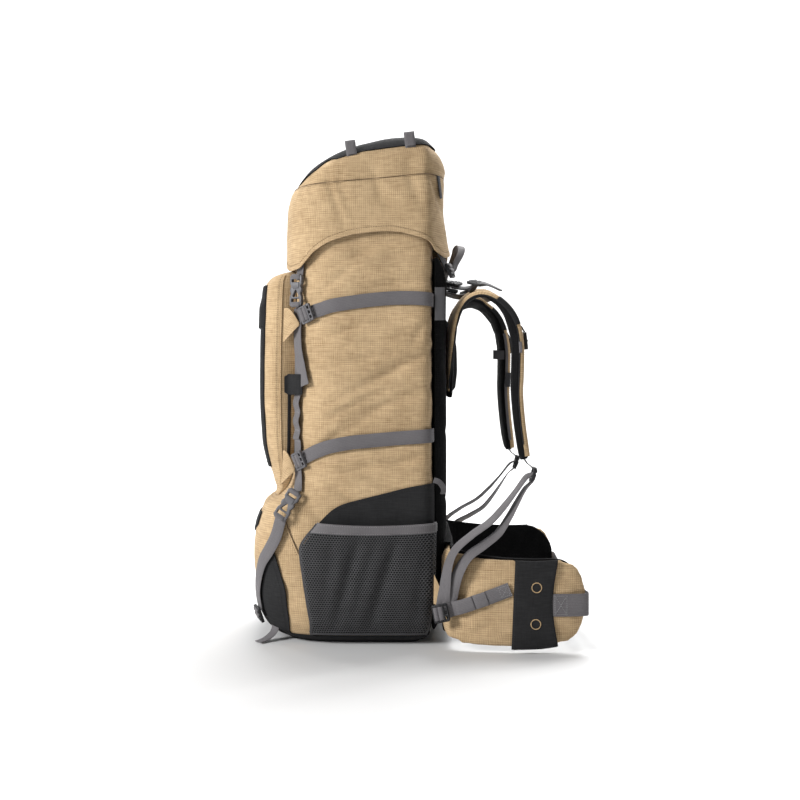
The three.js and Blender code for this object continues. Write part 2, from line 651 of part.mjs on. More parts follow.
// The mesh pocket, sewn along three sides and open at its upper hem
function meshPocketSolid() {
  const lowZ = BASE_LIP_Z + 1.5;
  const place = (u, z, height) => {
    const front = columnAt(MESH_FRONT, "z", z, "angle");
    return rightPoint(THREE.MathUtils.lerp(MESH_BACK_ANGLE, front, u), z, height);
  };
  const under = (u, z) => {
    const across = Math.max(1 - Math.abs(2 * u - 1) ** 3, 0) ** (1 / 3);
    const rise = Math.sin(Math.min((z - lowZ) / 85, 1) * (Math.PI / 2));
    return 3 + MESH_BULGE * across * rise;
  };
  const levels = within(BAG_LEVELS, lowZ, MESH_TOP_Z);
  return sheetSolid(place, evenly(10).map(crowd), levels, under, (u, z) => under(u, z) + WEB);
}

// Webbing laid on the bag through rows of angle and height, with any wave standing off it
function laidStrap(rows, width, steps, height, wave = () => 0, tail = []) {
  const line = new THREE.CatmullRomCurve3(rows.map((r) => vector(r.angle, r.z, 0)), false, "centripetal");
  const points = [];
  const acrosses = [];
  for (let i = 0; i <= steps; i++) {
    const at = line.getPoint(i / steps);
    const next = line.getPoint(Math.min(i / steps + 0.01, 1));
    const ahead = i < steps ? next : line.getPoint(1 - 0.01);
    const here = rightPoint(at.x, at.y, height + wave(at.y));
    const tangent = rightPoint(ahead.x, ahead.y, height).sub(rightPoint(at.x, at.y, height));
    const normal = levelNormal((a) => smoothRadius(a, at.y), radians(-at.x));
    points.push(here);
    const side = vector(0, 0, 0).crossVectors(tangent, normal);
    acrosses.push(side.multiplyScalar(i < steps ? 1 : -1).normalize());
  }
  tail.forEach((r) => {
    points.push(vector(r.x, r.y, r.z));
    acrosses.push(acrosses.at(-1).clone().setZ(acrosses.at(-1).z * 0.3).normalize());
  });
  return stripSolid(points, acrosses, width, WEB);
}

const daisyWave = (z) => {
  const t = (DAISY.highZ - z) / (DAISY.highZ - DAISY.lowZ);
  return t > 0 && t < 1 ? DAISY.depth * (1 - Math.cos(2 * Math.PI * DAISY.waves * t)) * 0.5 : 0;
};

// The lid strap rises to the lid's cloth, where it is sewn under the hem
const hemRise = (z) => 2.4 * THREE.MathUtils.clamp((z - 548) / 10, 0, 1);

// A cloth tab that narrows from the front pocket's side to its tip below a compression lock
function strapTabSolid(rootZ, tipAngle, tipZ, tipHeight) {
  const place = (u, v, height) => {
    const z = THREE.MathUtils.lerp(rootZ, tipZ, u) + THREE.MathUtils.lerp(24, 4, u) * (2 * v - 1);
    const angle = THREE.MathUtils.lerp(132.3, tipAngle, u);
    return rightPoint(angle, z, THREE.MathUtils.lerp(11, tipHeight, u) + height);
  };
  return sheetSolid(place, evenly(3), evenly(2), () => 0, () => WEB);
}

// A padded strap: a round-edged section swept along a route
function shoulderStrapSolid() {
  const middles = SHOULDER_ROUTE.map((r) => vector(r.x, r.y, r.z));
  const line = new THREE.CatmullRomCurve3(middles, false, "centripetal");
  const rows = SHOULDER_ROUTE.map((r, i) => ({ t: i / (SHOULDER_ROUTE.length - 1), width: r.width }));
  const steps = 22;
  const rings = Array.from({ length: steps + 1 }, (_, i) => {
    const t = i / steps;
    const tangent = line.getTangent(t);
    const across = vector(0, 1, 0).addScaledVector(tangent, -tangent.y).normalize();
    const face = vector(0, 0, 0).crossVectors(across, tangent);
    const end = Math.min(1, 0.5 + 12 * Math.min(t, 1 - t));
    return roundSection(line.getPoint(t), across, columnAt(rows, "t", t, "width"), face, STRAP_THICK * end);
  });
  return ringSolid(rings);
}

// A section with rounded corners, of a width and thickness along two directions
function roundSection(middle, across, width, face, thick, power = 5, sides = 10) {
  return Array.from({ length: sides }, (_, k) => {
    const a = (2 * Math.PI * (k + 0.5)) / sides;
    const reach = (n) => Math.sign(n) * Math.abs(n) ** (2 / power);
    return middle
      .clone()
      .addScaledVector(across, (reach(Math.cos(a)) * width) / 2)
      .addScaledVector(face, (reach(Math.sin(a)) * thick) / 2);
  });
}

// The yoke between the roots of the shoulder straps, and the back panel behind it
function yokePadSolid() {
  const rows = [
    { z: 366, width: 44, thick: 14 },
    { z: 374, width: 64, thick: 22 },
    { z: 440, width: 65, thick: 24 },
    { z: 496, width: 58, thick: 20 },
    { z: 504, width: 36, thick: 10 },
  ];
  const backX = bagSection(430).back + PAD_RISE + GAP - 1.2;
  const rings = rows.map((r) => {
    const middle = vector(backX + r.thick / 2, 0, r.z);
    return roundSection(middle, vector(0, 1, 0), r.width, vector(1, 0, 0), r.thick);
  });
  return ringSolid(rings);
}

function backPanelSolid() {
  const place = (degrees, z, height) => bagPoint(radians(degrees), z, height);
  const rise = (degrees, z) => {
    const edge = Math.max(1 - Math.abs(degrees / PAD_SPAN) ** 6, 0) ** (1 / 3);
    const level = Math.abs(THREE.MathUtils.mapLinear(z, PAD_LOW_Z, PAD_HIGH_Z, -1, 1));
    const end = Math.max(1 - level ** 24, 0) ** (1 / 4);
    const channel = 2 * Math.exp(-((degrees / 9) ** 2));
    return 4 + (PAD_RISE - 4 - channel) * edge * end;
  };
  const half = [0, 8, 16, 24, 42, 51, PAD_SPAN];
  const columns = [...half.slice(1).reverse().map((d) => -d), ...half];
  const rows = [PAD_LOW_Z, 20, 45, 85, 170, 280, 380, 460, 495, 560, PAD_HIGH_Z];
  return sheetSolid(place, columns, rows, () => GAP + 0.5, rise, true);
}

// The hip belt's outer face: t runs from the middle of the back to the wing's tip
const BELT_MIDDLES = BELT_ROUTE.map((r) => vector(r.x, r.y, 0));
const BELT_LINE = new THREE.CatmullRomCurve3(BELT_MIDDLES, false, "centripetal");
const BELT_ROWS = BELT_ROUTE.map((r, i) => ({ t: i / (BELT_ROUTE.length - 1), low: r.low, high: r.high }));

function beltStation(t) {
  const tangent = BELT_LINE.getTangent(t);
  return {
    middle: BELT_LINE.getPoint(t),
    out: vector(tangent.y, -tangent.x, 0).normalize(),
    low: columnAt(BELT_ROWS, "t", t, "low"),
    high: columnAt(BELT_ROWS, "t", t, "high"),
    thick: BELT_THICK * Math.min(1, 0.45 + 9 * (1 - t)),
  };
}

function hipBeltSolid() {
  const steps = 16;
  const half = Array.from({ length: steps + 1 }, (_, i) => {
    const s = beltStation(i / steps);
    const middle = s.middle.clone().setZ((s.low + s.high) / 2);
    return roundSection(middle, vector(0, 0, 1), s.high - s.low, s.out, s.thick, 6);
  });
  const mirrored = half.slice(1).reverse().map((ring) => ring.map((p) => vector(p.x, -p.y, p.z)));
  return ringSolid([...mirrored, ...half]);
}

function beltPoint(t, z, height) {
  const s = beltStation(t);
  const level = Math.min(Math.abs((2 * z - s.low - s.high) / (s.high - s.low)), 1);
  const bulge = (1 - level ** 6) ** (1 / 6);
  return s.middle.clone().addScaledVector(s.out, (s.thick / 2) * bulge + height).setZ(z);
}

function beltPanelSolid() {
  const place = (u, v, height) => {
    const waist = 0.015 * Math.sin(Math.PI * v);
    const t = THREE.MathUtils.lerp(0.572, 0.7 - waist, u);
    const s = beltStation(t);
    return beltPoint(t, THREE.MathUtils.lerp(s.low + 5, s.high - 5, v), height);
  };
  return sheetSolid(place, evenly(4), evenly(5), () => GAP + 0.3, () => GAP + 0.3 + WEB);
}

function stabilizerSolid() {
  const place = (u, v, height) => {
    const t = THREE.MathUtils.lerp(0.29, 0.56, u);
    const z = THREE.MathUtils.lerp(56, 94, u) + WEB_WIDTH * (v - 0.5);
    return beltPoint(t, z, height);
  };
  return sheetSolid(place, evenly(10), evenly(1), () => GAP, () => GAP + WEB);
}

// Buckles, drawn flat with the strap along X and extruded up from the seat
function plate(outline, holes, thick) {
  const shape = new THREE.Shape(outline.map(([x, y]) => new THREE.Vector2(x, y)));
  holes.forEach((hole) => shape.holes.push(new THREE.Path(hole.map(([x, y]) => new THREE.Vector2(x, y)))));
  return new THREE.ExtrudeGeometry(shape, { depth: thick, bevelEnabled: false });
}

const rectangle = (x0, y0, x1, y1) => [[x0, y0], [x1, y0], [x1, y1], [x0, y1]];

// A rectangle with its corners cut off
function cutRectangle(x0, y0, x1, y1, cut) {
  return [
    [x0 + cut, y0], [x1 - cut, y0], [x1, y0 + cut], [x1, y1 - cut],
    [x1 - cut, y1], [x0 + cut, y1], [x0, y1 - cut], [x0, y0 + cut],
  ];
}

function ladderLock() {
  const [l, w, b] = [LOCK.length / 2, LOCK.width / 2, LOCK.bar];
  const slot = (LOCK.length - 3 * b) / 2;
  const feed = rectangle(-l + b, -w + b, -l + b + slot, w - b);
  const grip = rectangle(b / 2, -w + b + 0.7, b / 2 + slot, w - b - 0.7);
  const holes = [feed.reverse(), grip.reverse()];
  return plate(cutRectangle(-l, -w, l, w, 3), holes, LOCK.thick);
}

function sideClasp(length = CLASP.length, width = CLASP.width) {
  const [l, w] = [length / 2, width / 2];
  const [rim, slot] = [CLASP.rim, CLASP.slot];
  const waist = w * 0.84;
  const outline = [
    [-l + 2, -w], [-4, -w], [2, -waist], [8, -waist], [13, -w], [l - 2, -w], [l, -w + 2],
    [l, w - 2], [l - 2, w], [13, w], [8, waist], [2, waist], [-4, w], [-l + 2, w], [-l, w - 2],
    [-l, -w + 2],
  ];
  const near = rectangle(-l + rim, -w + rim, -l + rim + slot, w - rim).reverse();
  const far = rectangle(l - rim - slot, -w + rim + 0.7, l - rim, w - rim - 0.7).reverse();
  const window = [[-3, -6], [6, -1.5], [6, 1.5], [-3, 6]].reverse();
  return plate(outline, [near, far, window], CLASP.thick);
}

// Turns a flat buckle onto a seat: its X along the strap and its Z out of the surface
function seated(geometry, seat, along, out) {
  const side = vector(0, 0, 0).crossVectors(out, along).normalize();
  const forward = vector(0, 0, 0).crossVectors(side, out).normalize();
  const turn = new THREE.Matrix4().makeBasis(forward, side, out.clone().normalize()).setPosition(seat);
  return geometry.applyMatrix4(turn);
}

// A buckle on the bag at an angle from the back and a height. It lies along the chord to a second angle
// and height, which is as far behind its middle as before it.
function onBag(geometry, degrees, z, height, turnDegrees, turnZ) {
  const ahead = rightPoint(degrees + turnDegrees, z + turnZ, 0);
  const behind = rightPoint(degrees - turnDegrees, z - turnZ, 0);
  const along = ahead.clone().sub(behind);
  const level = levelNormal((a) => smoothRadius(a, z), radians(-degrees));
  const out = level.addScaledVector(along, -level.dot(along) / along.lengthSq()).normalize();
  const middle = ahead.add(behind).divideScalar(2);
  const lift = Math.max(rightPoint(degrees, z, 0).sub(middle).dot(out), 0);
  return seated(geometry, middle.addScaledVector(out, height + lift), along, out);
}

// The pack: pieces on the middle line, then pairs that are made on the right and mirrored to the left
const pack = new THREE.Group();
const right = new THREE.Group();
const left = new THREE.Group();
left.scale.y = -1;
pack.add(right, left);

function single(name, geometry, material) {
  const mesh = new THREE.Mesh(geometry, material);
  mesh.name = name;
  pack.add(mesh);
}

function pair(name, geometry, material) {
  for (const [side, group] of [["right", right], ["left", left]]) {
    const mesh = new THREE.Mesh(geometry, material);
    mesh.name = `${name}_${side}`;
    group.add(mesh);
  }
}

single("bag", bagSolid(), TAN);
single("base", baseSolid(), BLACK);
single("front_boot", frontBootSolid(), BLACK);
single("lid", lidSolid(), TAN);
single("lid_top", lidTopSolid(), BLACK);
single("front_pocket", frontPocketSolid(), TAN);
single("front_panel", frontPanelSolid(), BLACK);
single("lower_flap", lowerFlapSolid(), BLACK);
single("back_panel", backPanelSolid(), FOAM);
single("yoke_pad", yokePadSolid(), FOAM);
single("hip_belt", hipBeltSolid(), TAN);
single("grab_handle", freeStrap(HANDLE_ROUTE, WEB_WIDTH, 16), GREY);
const buckleSeat = vector(BELT_WEB_ROUTE.at(-1).x - CLASP.thick / 2, 0, BELT_WEB_ROUTE.at(-1).z);
const waistClasp = sideClasp(64, 42);
single("belt_buckle", seated(waistClasp, buckleSeat, vector(0, 1, 0), vector(1, 0, 0)), DARK_PLASTIC);

pair("side_panel", sidePanelSolid(), BLACK);
pair("mesh_pocket", meshPocketSolid(), MESH);
pair("shoulder_strap", shoulderStrapSolid(), TAN);
pair("belt_panel", beltPanelSolid(), BLACK);
pair("belt_webbing", freeStrap(BELT_WEB_ROUTE, BELT_WEB_WIDTH, 16), GREY);
pair("stabilizer_strap", stabilizerSolid(), GREY);
pair("adjuster_strap", freeStrap(ADJUSTER_ROUTE, WEB_WIDTH, 26), GREY);
pair("load_lifter", freeStrap(LIFTER_ROUTE, WEB_WIDTH, 14), GREY);
pair("lid_rear_strap", freeStrap(LID_REAR_ROUTE, WEB_WIDTH, 12), GREY);

const webHeight = GAP + WEB / 2 + 0.3;
pair("compression_strap_upper", laidStrap(UPPER_STRAP, WEB_WIDTH, 14, webHeight + 1.3), GREY);
pair("compression_strap_lower", laidStrap(LOWER_STRAP, WEB_WIDTH, 14, webHeight + 1.3), GREY);
pair("lid_strap", laidStrap(LID_STRAP, 18, 6, webHeight, hemRise), GREY);
pair("side_strap", laidStrap(SIDE_STRAP, 17, 24, webHeight + 0.8, daisyWave), GREY);
pair("base_strap", laidStrap(BASE_STRAP, WEB_WIDTH, 14, webHeight + 4.3, () => 0, BASE_TAIL_ROUTE), GREY);

const lockHeight = webHeight + WEB / 2 + GAP;
pair("compression_lock_upper", onBag(ladderLock(), 119.6, 485, lockHeight + 1.4, 4, -2.6), PLASTIC);
pair("compression_lock_lower", onBag(ladderLock(), 122.6, 272.4, lockHeight + 1.4, 4, -4.6), PLASTIC);
pair("strap_tab_upper", strapTabSolid(468, 124.2, 466, 3.6), TAN);
pair("strap_tab_lower", strapTabSolid(257.5, 128.5, 249, 3.1), TAN);
pair("lid_buckle", onBag(sideClasp(), SIDE_STRAP_ANGLE, 521, lockHeight + 0.9, 0, -20), PLASTIC);
pair("lower_buckle", onBag(sideClasp(), 126.8, 205, lockHeight + 3.5, 2.6, -20), PLASTIC);
pair("base_lock", onBag(ladderLock(), 147.4, 49, lockHeight + 5.5, 0.3, -11), DARK_PLASTIC);

const lifterSeat = vector(98, -105, 524.5);
const lifterLock = seated(ladderLock(), lifterSeat, vector(1, -0.5, 0), vector(0, 0, 1));
pair("load_lifter_lock", lifterLock, DARK_PLASTIC);
const adjusterSeat = vector(167.6, -124.6, 257.9);
const adjusterLock = seated(ladderLock(), adjusterSeat, vector(0.45, 0, -0.9), vector(0.9, 0, 0.45));
pair("adjuster_lock", adjusterLock, DARK_PLASTIC);

export default pack;
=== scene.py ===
"""A trekking backpack that stands on its base, in cloth, padding, webbing and plastic."""
import math

import bpy
import numpy as np
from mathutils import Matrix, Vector, noise
from mathutils.geometry import tessellate_polygon


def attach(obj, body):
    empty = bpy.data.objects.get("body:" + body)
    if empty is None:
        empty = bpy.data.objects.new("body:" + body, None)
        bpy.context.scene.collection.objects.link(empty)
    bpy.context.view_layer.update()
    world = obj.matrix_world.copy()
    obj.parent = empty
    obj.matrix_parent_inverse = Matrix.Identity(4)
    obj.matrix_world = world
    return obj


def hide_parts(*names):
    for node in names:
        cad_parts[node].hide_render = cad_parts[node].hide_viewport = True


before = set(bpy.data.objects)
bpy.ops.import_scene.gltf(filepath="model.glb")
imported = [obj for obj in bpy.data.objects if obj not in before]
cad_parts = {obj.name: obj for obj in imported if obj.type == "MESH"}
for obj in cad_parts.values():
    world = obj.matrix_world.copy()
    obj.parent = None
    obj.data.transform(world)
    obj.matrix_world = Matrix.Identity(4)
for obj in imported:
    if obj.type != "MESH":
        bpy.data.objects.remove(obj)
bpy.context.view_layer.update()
MM = 0.001
UP, SIDEWAYS = np.array([0, 0, 1.0]), np.array([0, 1.0, 0])
# Mirrors to the wearer's left, and end for end
TO_LEFT, TURNED = (1, -1, 1), (-1, 1, 1)

# The photograph's camera: a level view, with its vanishing point in pixels of an 800 pixel picture
PICTURE = 800
VANISHING = (405, 378)
CAMERA = (-15.5, -1760, 390)
LENS, SENSOR = 50, 36

# Driving sizes in millimetres. They are the solids' own but for the back's boxier section,
# the belt webbing's height, and the mesh pocket's rear and top edge
BAG_AXIS = -80
FRONT_POWER, BACK_POWER = 3.2, 14
CLOTH, WEB, WEB_WIDTH, GAP = 2, 1.5, 20, 0.4
BASE_LIP = 13
PAD_RISE, PAD_SPAN, PAD_LOW, PAD_HIGH = 14, 53, 15, 570
BACK_X = 26.5  # where the bag's back is flat
STRAP_THICK, BELT_THICK = 17, 16
BELT_WEB_WIDTH, BELT_WEB_Z = 32, 70
SIDE_STRAP_ANGLE = 127
LID_DOME_POWER, POCKET_POWER = 4.2, 4
MESH_BACK_ANGLE, MESH_TOP, MESH_BULGE = 55, 182, 14
HEM_TAPE = 14
# Heights over the bag of the middle of webbing that lies on it, and of what lies on that webbing
LAID = GAP + WEB / 2 + 0.3
ON_WEB = LAID + WEB / 2 + GAP


def unit(v):
    return v / np.maximum(np.linalg.norm(v, axis=-1, keepdims=True), 1e-12)


def smooth(value, low, high):
    t = np.clip((value - low) / (high - low), 0, 1)
    return t * t * (3 - 2 * t)


def bell(value, width):
    return np.exp(-((value / width) ** 2))


def powered(value, power):
    """A power that keeps the sign."""
    return np.sign(value) * np.abs(value) ** power


def soft_edge(t, sharp=12):
    """A rise from 0 at both ends of 0 to 1 to a flat 1 between them."""
    return np.minimum(np.minimum(t, 1 - t) * sharp, 1) ** 0.5


def stepped(*spans):
    """Rising values in stretches that are each a low end, a high end and a count."""
    return np.unique(np.concatenate([np.linspace(*span) for span in spans]))


class Rows:
    """A table with named columns, read between its rows by a cubic that doesn't overshoot."""

    def __init__(self, names, *rows):
        self.names = names.split()
        self.data = np.array(rows, float)

    def __call__(self, name, at):
        keys, values = self.data[:, 0], self.data[:, self.names.index(name)]
        slopes = np.diff(values) / np.diff(keys)
        product = slopes[:-1] * slopes[1:]
        total = np.where(product > 0, slopes[:-1] + slopes[1:], 1)
        inner = np.where(product > 0, 2 * product / total, 0)
        tangents = np.concatenate([slopes[:1], inner, slopes[-1:]])
        at = np.clip(at, keys[0], keys[-1])
        i = np.clip(np.searchsorted(keys, at, side="right") - 1, 0, len(keys) - 2)
        step = keys[i + 1] - keys[i]
        t = (at - keys[i]) / step
        m0, m1 = tangents[i] * step, tangents[i + 1] * step
        rise = values[i + 1] - values[i]
        return values[i] + t * m0 + t * t * (3 * rise - 2 * m0 - m1) + t**3 * (m0 + m1 - 2 * rise)


# Level sections of the bag: height, its front and back in x, and half its width
BAG = Rows(
    "z front back half",
    (2.6, -200, 6, 118), (8, -212.5, 16, 130), (20, -227, 22, 140), (45, -239, 25, 149),
    (85, -246, 26.5, 154), (130, -249.5, 26.5, 157), (170, -244, 26.5, 158), (190, -237, 26.5, 158),
    (203, -232, 26.5, 158), (209, -224, 26.5, 158), (216, -212, 26.5, 158), (228, -199, 26.5, 158),
    (250, -191, 26.5, 158), (320, -189.5, 26.5, 158),
    (430, -189.5, 26.5, 157), (520, -188, 26.5, 152), (580, -186, 26, 146), (620, -183, 25, 142),
    (652, -179, 23, 137),
)
# Hollows under the compression straps: height at the back and front, depth and spread
CINCHES = [(509, 487, 3.4, 22), (306, 278, 3.4, 22)]
# Broad folds on the bag's sides: middle, rise in degrees, half length, half width, height
FOLDS = [
    (-60, 430, 20, 95, 24, 4), (-100, 362, 28, 80, 22, 4.5), (-60, 550, 12, 90, 24, 4),
    (-95, 240, -26, 60, 22, 3),
]
# Narrow creases pressed into the cloth of the bag's sides, in the same columns
CREASES = [
    (-62, 384, 25.7, 90, 7, 2.6), (-101, 345, 26, 50, 6, 2.4), (-92, 318, 33, 46, 5, 1.8),
    (-120, 306, 40, 30, 4, 1.8), (-40, 352, 20, 70, 8, 2.0), (-29, 446, 6.6, 60, 7, 1.8),
    (-95, 412, 14, 60, 6, 1.6), (-20, 410, 24, 60, 8, 1.8), (-43, 550, 12, 65, 7, 1.9),
    (-100, 562, 24, 46, 5, 1.8), (-112, 536, 40, 40, 6, 1.8), (-15, 572, 16, 46, 7, 1.7),
    (-45, 470, 10, 70, 6, 1.4), (-110, 455, 20, 40, 5, 1.5), (5, 455, 60, 34, 6, 1.4),
    (-30, 526, 9, 70, 6, 1.4), (-60, 262, 10, 50, 6, 1.6), (-10, 270, 24, 36, 6, 1.6),
    (-120, 250, -22, 34, 5, 1.7), (-108, 226, -38, 42, 6, 1.9), (-134, 180, -50, 34, 5, 1.6),
    (-150, 120, 15, 26, 5, 1.3), (-148, 96, 10, 24, 4, 1.3), (-150, 70, 12, 22, 4, 1.2),
]
# The lid's sections in the same columns, its hem by angle from the back, its seam and its crown
LID = Rows(
    "z front back half",
    (545, -196, 56, 154.5), (568, -198, 54, 152.5), (594, -199, 50.5, 150), (621, -199, 48.5, 148.5),
    (645, -197.5, 45, 146), (660, -193.5, 44.5, 145), (690, -182, 45, 142),
)
LID_HEM = Rows(
    "angle z",
    (0, 584), (28, 576), (36, 571.5), (41, 568.7), (49, 574), (52, 577.5), (54, 585), (56.3, 589.6),
    (60, 594.5), (74, 603), (90, 600), (106, 589), (115, 575), (121, 560), (126, 551), (135, 549),
    (143, 553), (156, 562), (180, 568),
)
# Where the lid's side turns into the slanted face at its back corner, from the bag's axis
LID_CORNER = 103
LID_SEAM = Rows("x z", (-193, 674), (-106, 679), (-30, 685.5), (10, 689.5), (46, 691))
LID_CROWN = Rows(
    "x z",
    (-193, 671), (-180, 680), (-160, 699), (-136, 715), (-108, 730), (-77, 740.5), (-31, 749), (8, 751),
    (26, 746), (46, 729),
)
# Edge of the lid's dark top by angle from the back, as a share of the dome's reach
LID_TOP_EDGE = Rows(
    "angle share",
    (0, 0.82), (40, 0.9), (58, 0.945), (75, 0.955), (90, 0.95), (104, 0.955), (111, 0.9), (118, 0.968),
    (128, 0.98), (140, 0.99), (155, 0.995), (180, 0.997),
)
# Gathers below the lid's seam: middle along the pack, half width, depth, length down
LID_GATHERS = [
    (-172, 4, 3.6, 30), (-160, 4.5, 3.2, 26), (-128, 5, 3.2, 56), (-112, 6, 2.2, 44), (-60, 8, 2.2, 40),
    (-10, 7, 2.4, 40), (22, 4, 3, 80),
]
# The front pocket: how far it stands off the bag, and half its span in degrees
POCKET = Rows(
    "z depth span",
    (216, 5, 38), (238, 26, 42), (264, 37, 44.5), (300, 45, 46), (380, 49, 46.5), (460, 48, 46.5),
    (505, 47.5, 46.5), (527, 46, 46), (541, 38, 44.5), (547, 26, 43), (551, 6, 41),
)
# Edges of the black cloth and the mesh pocket, by angle from the back and height
BOOT_TOP = Rows("angle z", (134, 141), (137.5, 137), (142, 118), (147.5, 86), (156, 72), (180, 68))
BOOT_SIDE = Rows("z angle", (14, 131.5), (40, 128.3), (74, 128.2), (105, 130.3), (141, 134))
SIDE_PANEL_EDGE = Rows(
    "angle z",
    (52, 238), (57, 237), (80, 222), (90, 215), (98.8, 208), (103, 202), (110, 183), (119, 144),
)
MESH_FRONT = Rows("z angle", (14, 119), (37, 117), (71, 117.6), (105, 118.6), (142, 119.6), (182, 111.5))
# Folds that hang in the mesh pocket: place along the pack at its hem, lean, half width, depth
MESH_FOLDS = [
    (-114, 0.14, 9, 3), (-77, 0.26, 10, 6), (-50, 0.3, 8, 2.4), (-21, 0.3, 10, 6), (16, 0.12, 8, 3),
]

# Middle line and width of the right shoulder strap, from the yoke to its lower end
SHOULDER = Rows(
    "x y z width",
    (52.5, -62.2, 359, 46), (52.5, -62.2, 380, 60), (54, -65, 430, 63), (58.5, -74, 470, 64),
    (70, -90, 498, 65), (86, -103, 511.5, 66), (103, -112, 513.5, 66), (120, -117, 505.5, 66),
    (135.5, -119, 489, 66), (145.5, -119, 466.5, 65), (150.5, -118, 438, 64), (150.5, -117, 400, 62),
    (149.5, -117, 365, 60), (152.5, -119, 325, 57), (157, -122, 290, 52), (160, -124, 270, 34),
).data
# The shoulder strap's thickness, the lean of its width and the edge of its tan cover, by share of its length
STRAP_DEPTH = Rows(
    "t thick",
    (0, 8.8), (0.012, 10.2), (0.13, 10), (0.2, 10.5), (0.3, 11), (0.4, 11.5), (0.48, 13), (0.6, 17),
    (0.985, 17.5), (1, 14),
)
STRAP_LEAN = Rows("t lean", (0, 0.05), (0.25, 0.09), (0.38, 0.12), (0.5, 0.1), (0.62, 0.04), (1, 0.05))
COVER_EDGE = Rows(
    "t edge",
    (0, -0.75), (0.07, -0.66), (0.105, -0.25), (0.185, 0.28), (0.25, 0.34), (0.38, 0.25), (0.5, 0),
    (0.62, -0.16), (1, -0.16),
)
YOKE = Rows(
    "z width thick",
    (366, 40, 14), (373, 58, 24), (400, 60, 27), (440, 60, 26), (462, 56, 21), (480, 42, 11), (486, 28, 6),
).data
# Middle line of the belt in plan from the back to its right tip, with its lower and upper edge
BELT = Rows(
    "x y low high",
    (48.9, 0, 28, 150), (48.9, -70, 27, 150), (47, -125, 20, 149), (46.5, -152, 14, 147),
    (60, -169.5, 10.5, 143), (91, -180.5, 7, 138), (130, -185.5, 5.5, 134), (170, -187, 6.5, 133),
    (205, -186, 11.5, 134), (226, -183.5, 21, 126), (237, -181.5, 40, 110), (242, -180.5, 58, 87),
).data
# Free webbing on the wearer's right: x y z of its middle line, then the way its width points
ADJUSTER = [
    (38, -168, 58, 0.95, -0.25, 0), (39.2, -172, 69.5, 0.9, -0.35, 0), (41, -176, 86.7, 0.75, -0.6, 0),
    (46.4, -180, 124.6, 0.5, -0.8, -0.2), (55.8, -176, 144.5, 0.3, -0.9, -0.3),
    (78.8, -166, 163.6, 0.22, -0.93, -0.28), (108, -152, 182.5, 0.24, -0.93, -0.24),
    (127.8, -142, 202, 0.22, -0.94, -0.22), (147.8, -133, 226, 0.15, -0.96, -0.15),
    (164, -128, 246, 0.17, -0.97, -0.17), (173, -126, 250, 0, -1, 0), (174, -128, 243, 0, -1, 0),
    (160, -133, 228, 0.1, -0.98, -0.1), (147, -140, 207.7, 0.18, -0.95, -0.18),
    (134.6, -150, 187.8, 0.24, -0.93, -0.24), (118.6, -162, 166.8, 0.28, -0.9, -0.3),
    (97, -174, 151.6, 0.3, -0.87, -0.36), (73.9, -185, 136.5, 0.4, -0.8, -0.36),
    (61, -187, 116.7, 0.62, -0.68, -0.25), (53.7, -182, 95.7, 0.8, -0.5, -0.1),
    (48.3, -175.5, 70.3, 0.95, -0.22, 0), (46, -174, 57, 0.97, -0.15, 0),
]
LIFTER = [
    (40.9, -74, 546, 0.2, 0.95, 0), (44, -75, 537, 0.2, 0.95, 0.1), (52, -77, 530, 0.1, 0.96, 0.2),
    (66, -84, 526, 0, 0.97, 0.24), (80, -94, 525.5, 0, 0.97, 0.24), (89, -101, 529, -0.05, 0.97, 0.24),
    (99, -106, 531, 0.05, 0.97, 0.24), (108, -109, 528.5, 0.1, 0.97, 0.2),
    (117, -112, 524.5, 0.1, 0.98, 0.15), (127, -114.5, 519.5, 0.1, 0.98, 0.15),
]
LID_REAR = [
    (34, -106, 591, 0.4, 0.9, 0), (35.5, -106, 578, 0.4, 0.9, 0.1), (40.4, -105.5, 568, 0.35, 0.9, 0.15),
    (45.2, -105, 555, 0.35, 0.92, 0.1), (45.8, -104, 545, 0.35, 0.92, 0), (43, -102, 534, 0.3, 0.94, -0.1),
    (41.6, -100, 523, 0.3, 0.95, -0.1),
]
HANDLE = [
    (40.9, -46, 545, 0.2, 1, 0.2), (50, -46, 549, 0.2, 1, 0.2), (59.5, -43, 557, 0.4, 0.9, 0),
    (63, -38, 567, 0.55, 0.8, -0.2), (70, -28, 581, 0.6, 0.75, -0.25), (73, -14, 593, 0.85, 0.4, -0.2),
    (71, 0, 598, 0.97, 0, -0.2), (67, 14, 594, 0.85, -0.4, -0.2), (64, 28, 587, 0.6, -0.75, -0.25),
    (59, 38, 574, 0.55, -0.8, -0.2), (54, 43, 562, 0.4, -0.9, 0), (47, 46, 551, 0.2, -1, 0.2),
    (40.9, 46, 545, 0.2, -1, 0.2),
]
BELT_WEB = [
    (190, -195.8, BELT_WEB_Z, 0, 0, 1), (218, -194.9, BELT_WEB_Z, 0, 0, 1),
    (235, -193, BELT_WEB_Z, 0, 0, 1), (242.4, -189.5, BELT_WEB_Z, 0, 0, 1),
    (244.7, -183, BELT_WEB_Z, 0, 0, 1), (244.7, -168, BELT_WEB_Z - 1, 0, 0, 1),
    (244, -110, BELT_WEB_Z - 5, 0, 0, 1), (242, -33, BELT_WEB_Z - 8, 0, 0, 1),
]
BASE_TAIL = [
    (-210, -101, 27, 0.7, -0.7, 0), (-208.5, -103, 20, 0.7, -0.7, 0), (-211, -106.5, 12, 0.7, -0.7, 0),
    (-218, -113, 6, 0.7, -0.7, 0), (-225, -120, 3, 0.7, -0.7, 0), (-231, -126, 2.2, 0.7, -0.7, 0),
]
LIFTER_ANCHOR = [
    (82, -100, 517.5, 0.45, 0.9, 0), (86, -101.5, 523, 0.45, 0.9, 0), (90, -103, 528, 0.45, 0.9, 0),
    (95, -105, 529.5, 0.45, 0.9, 0),
]
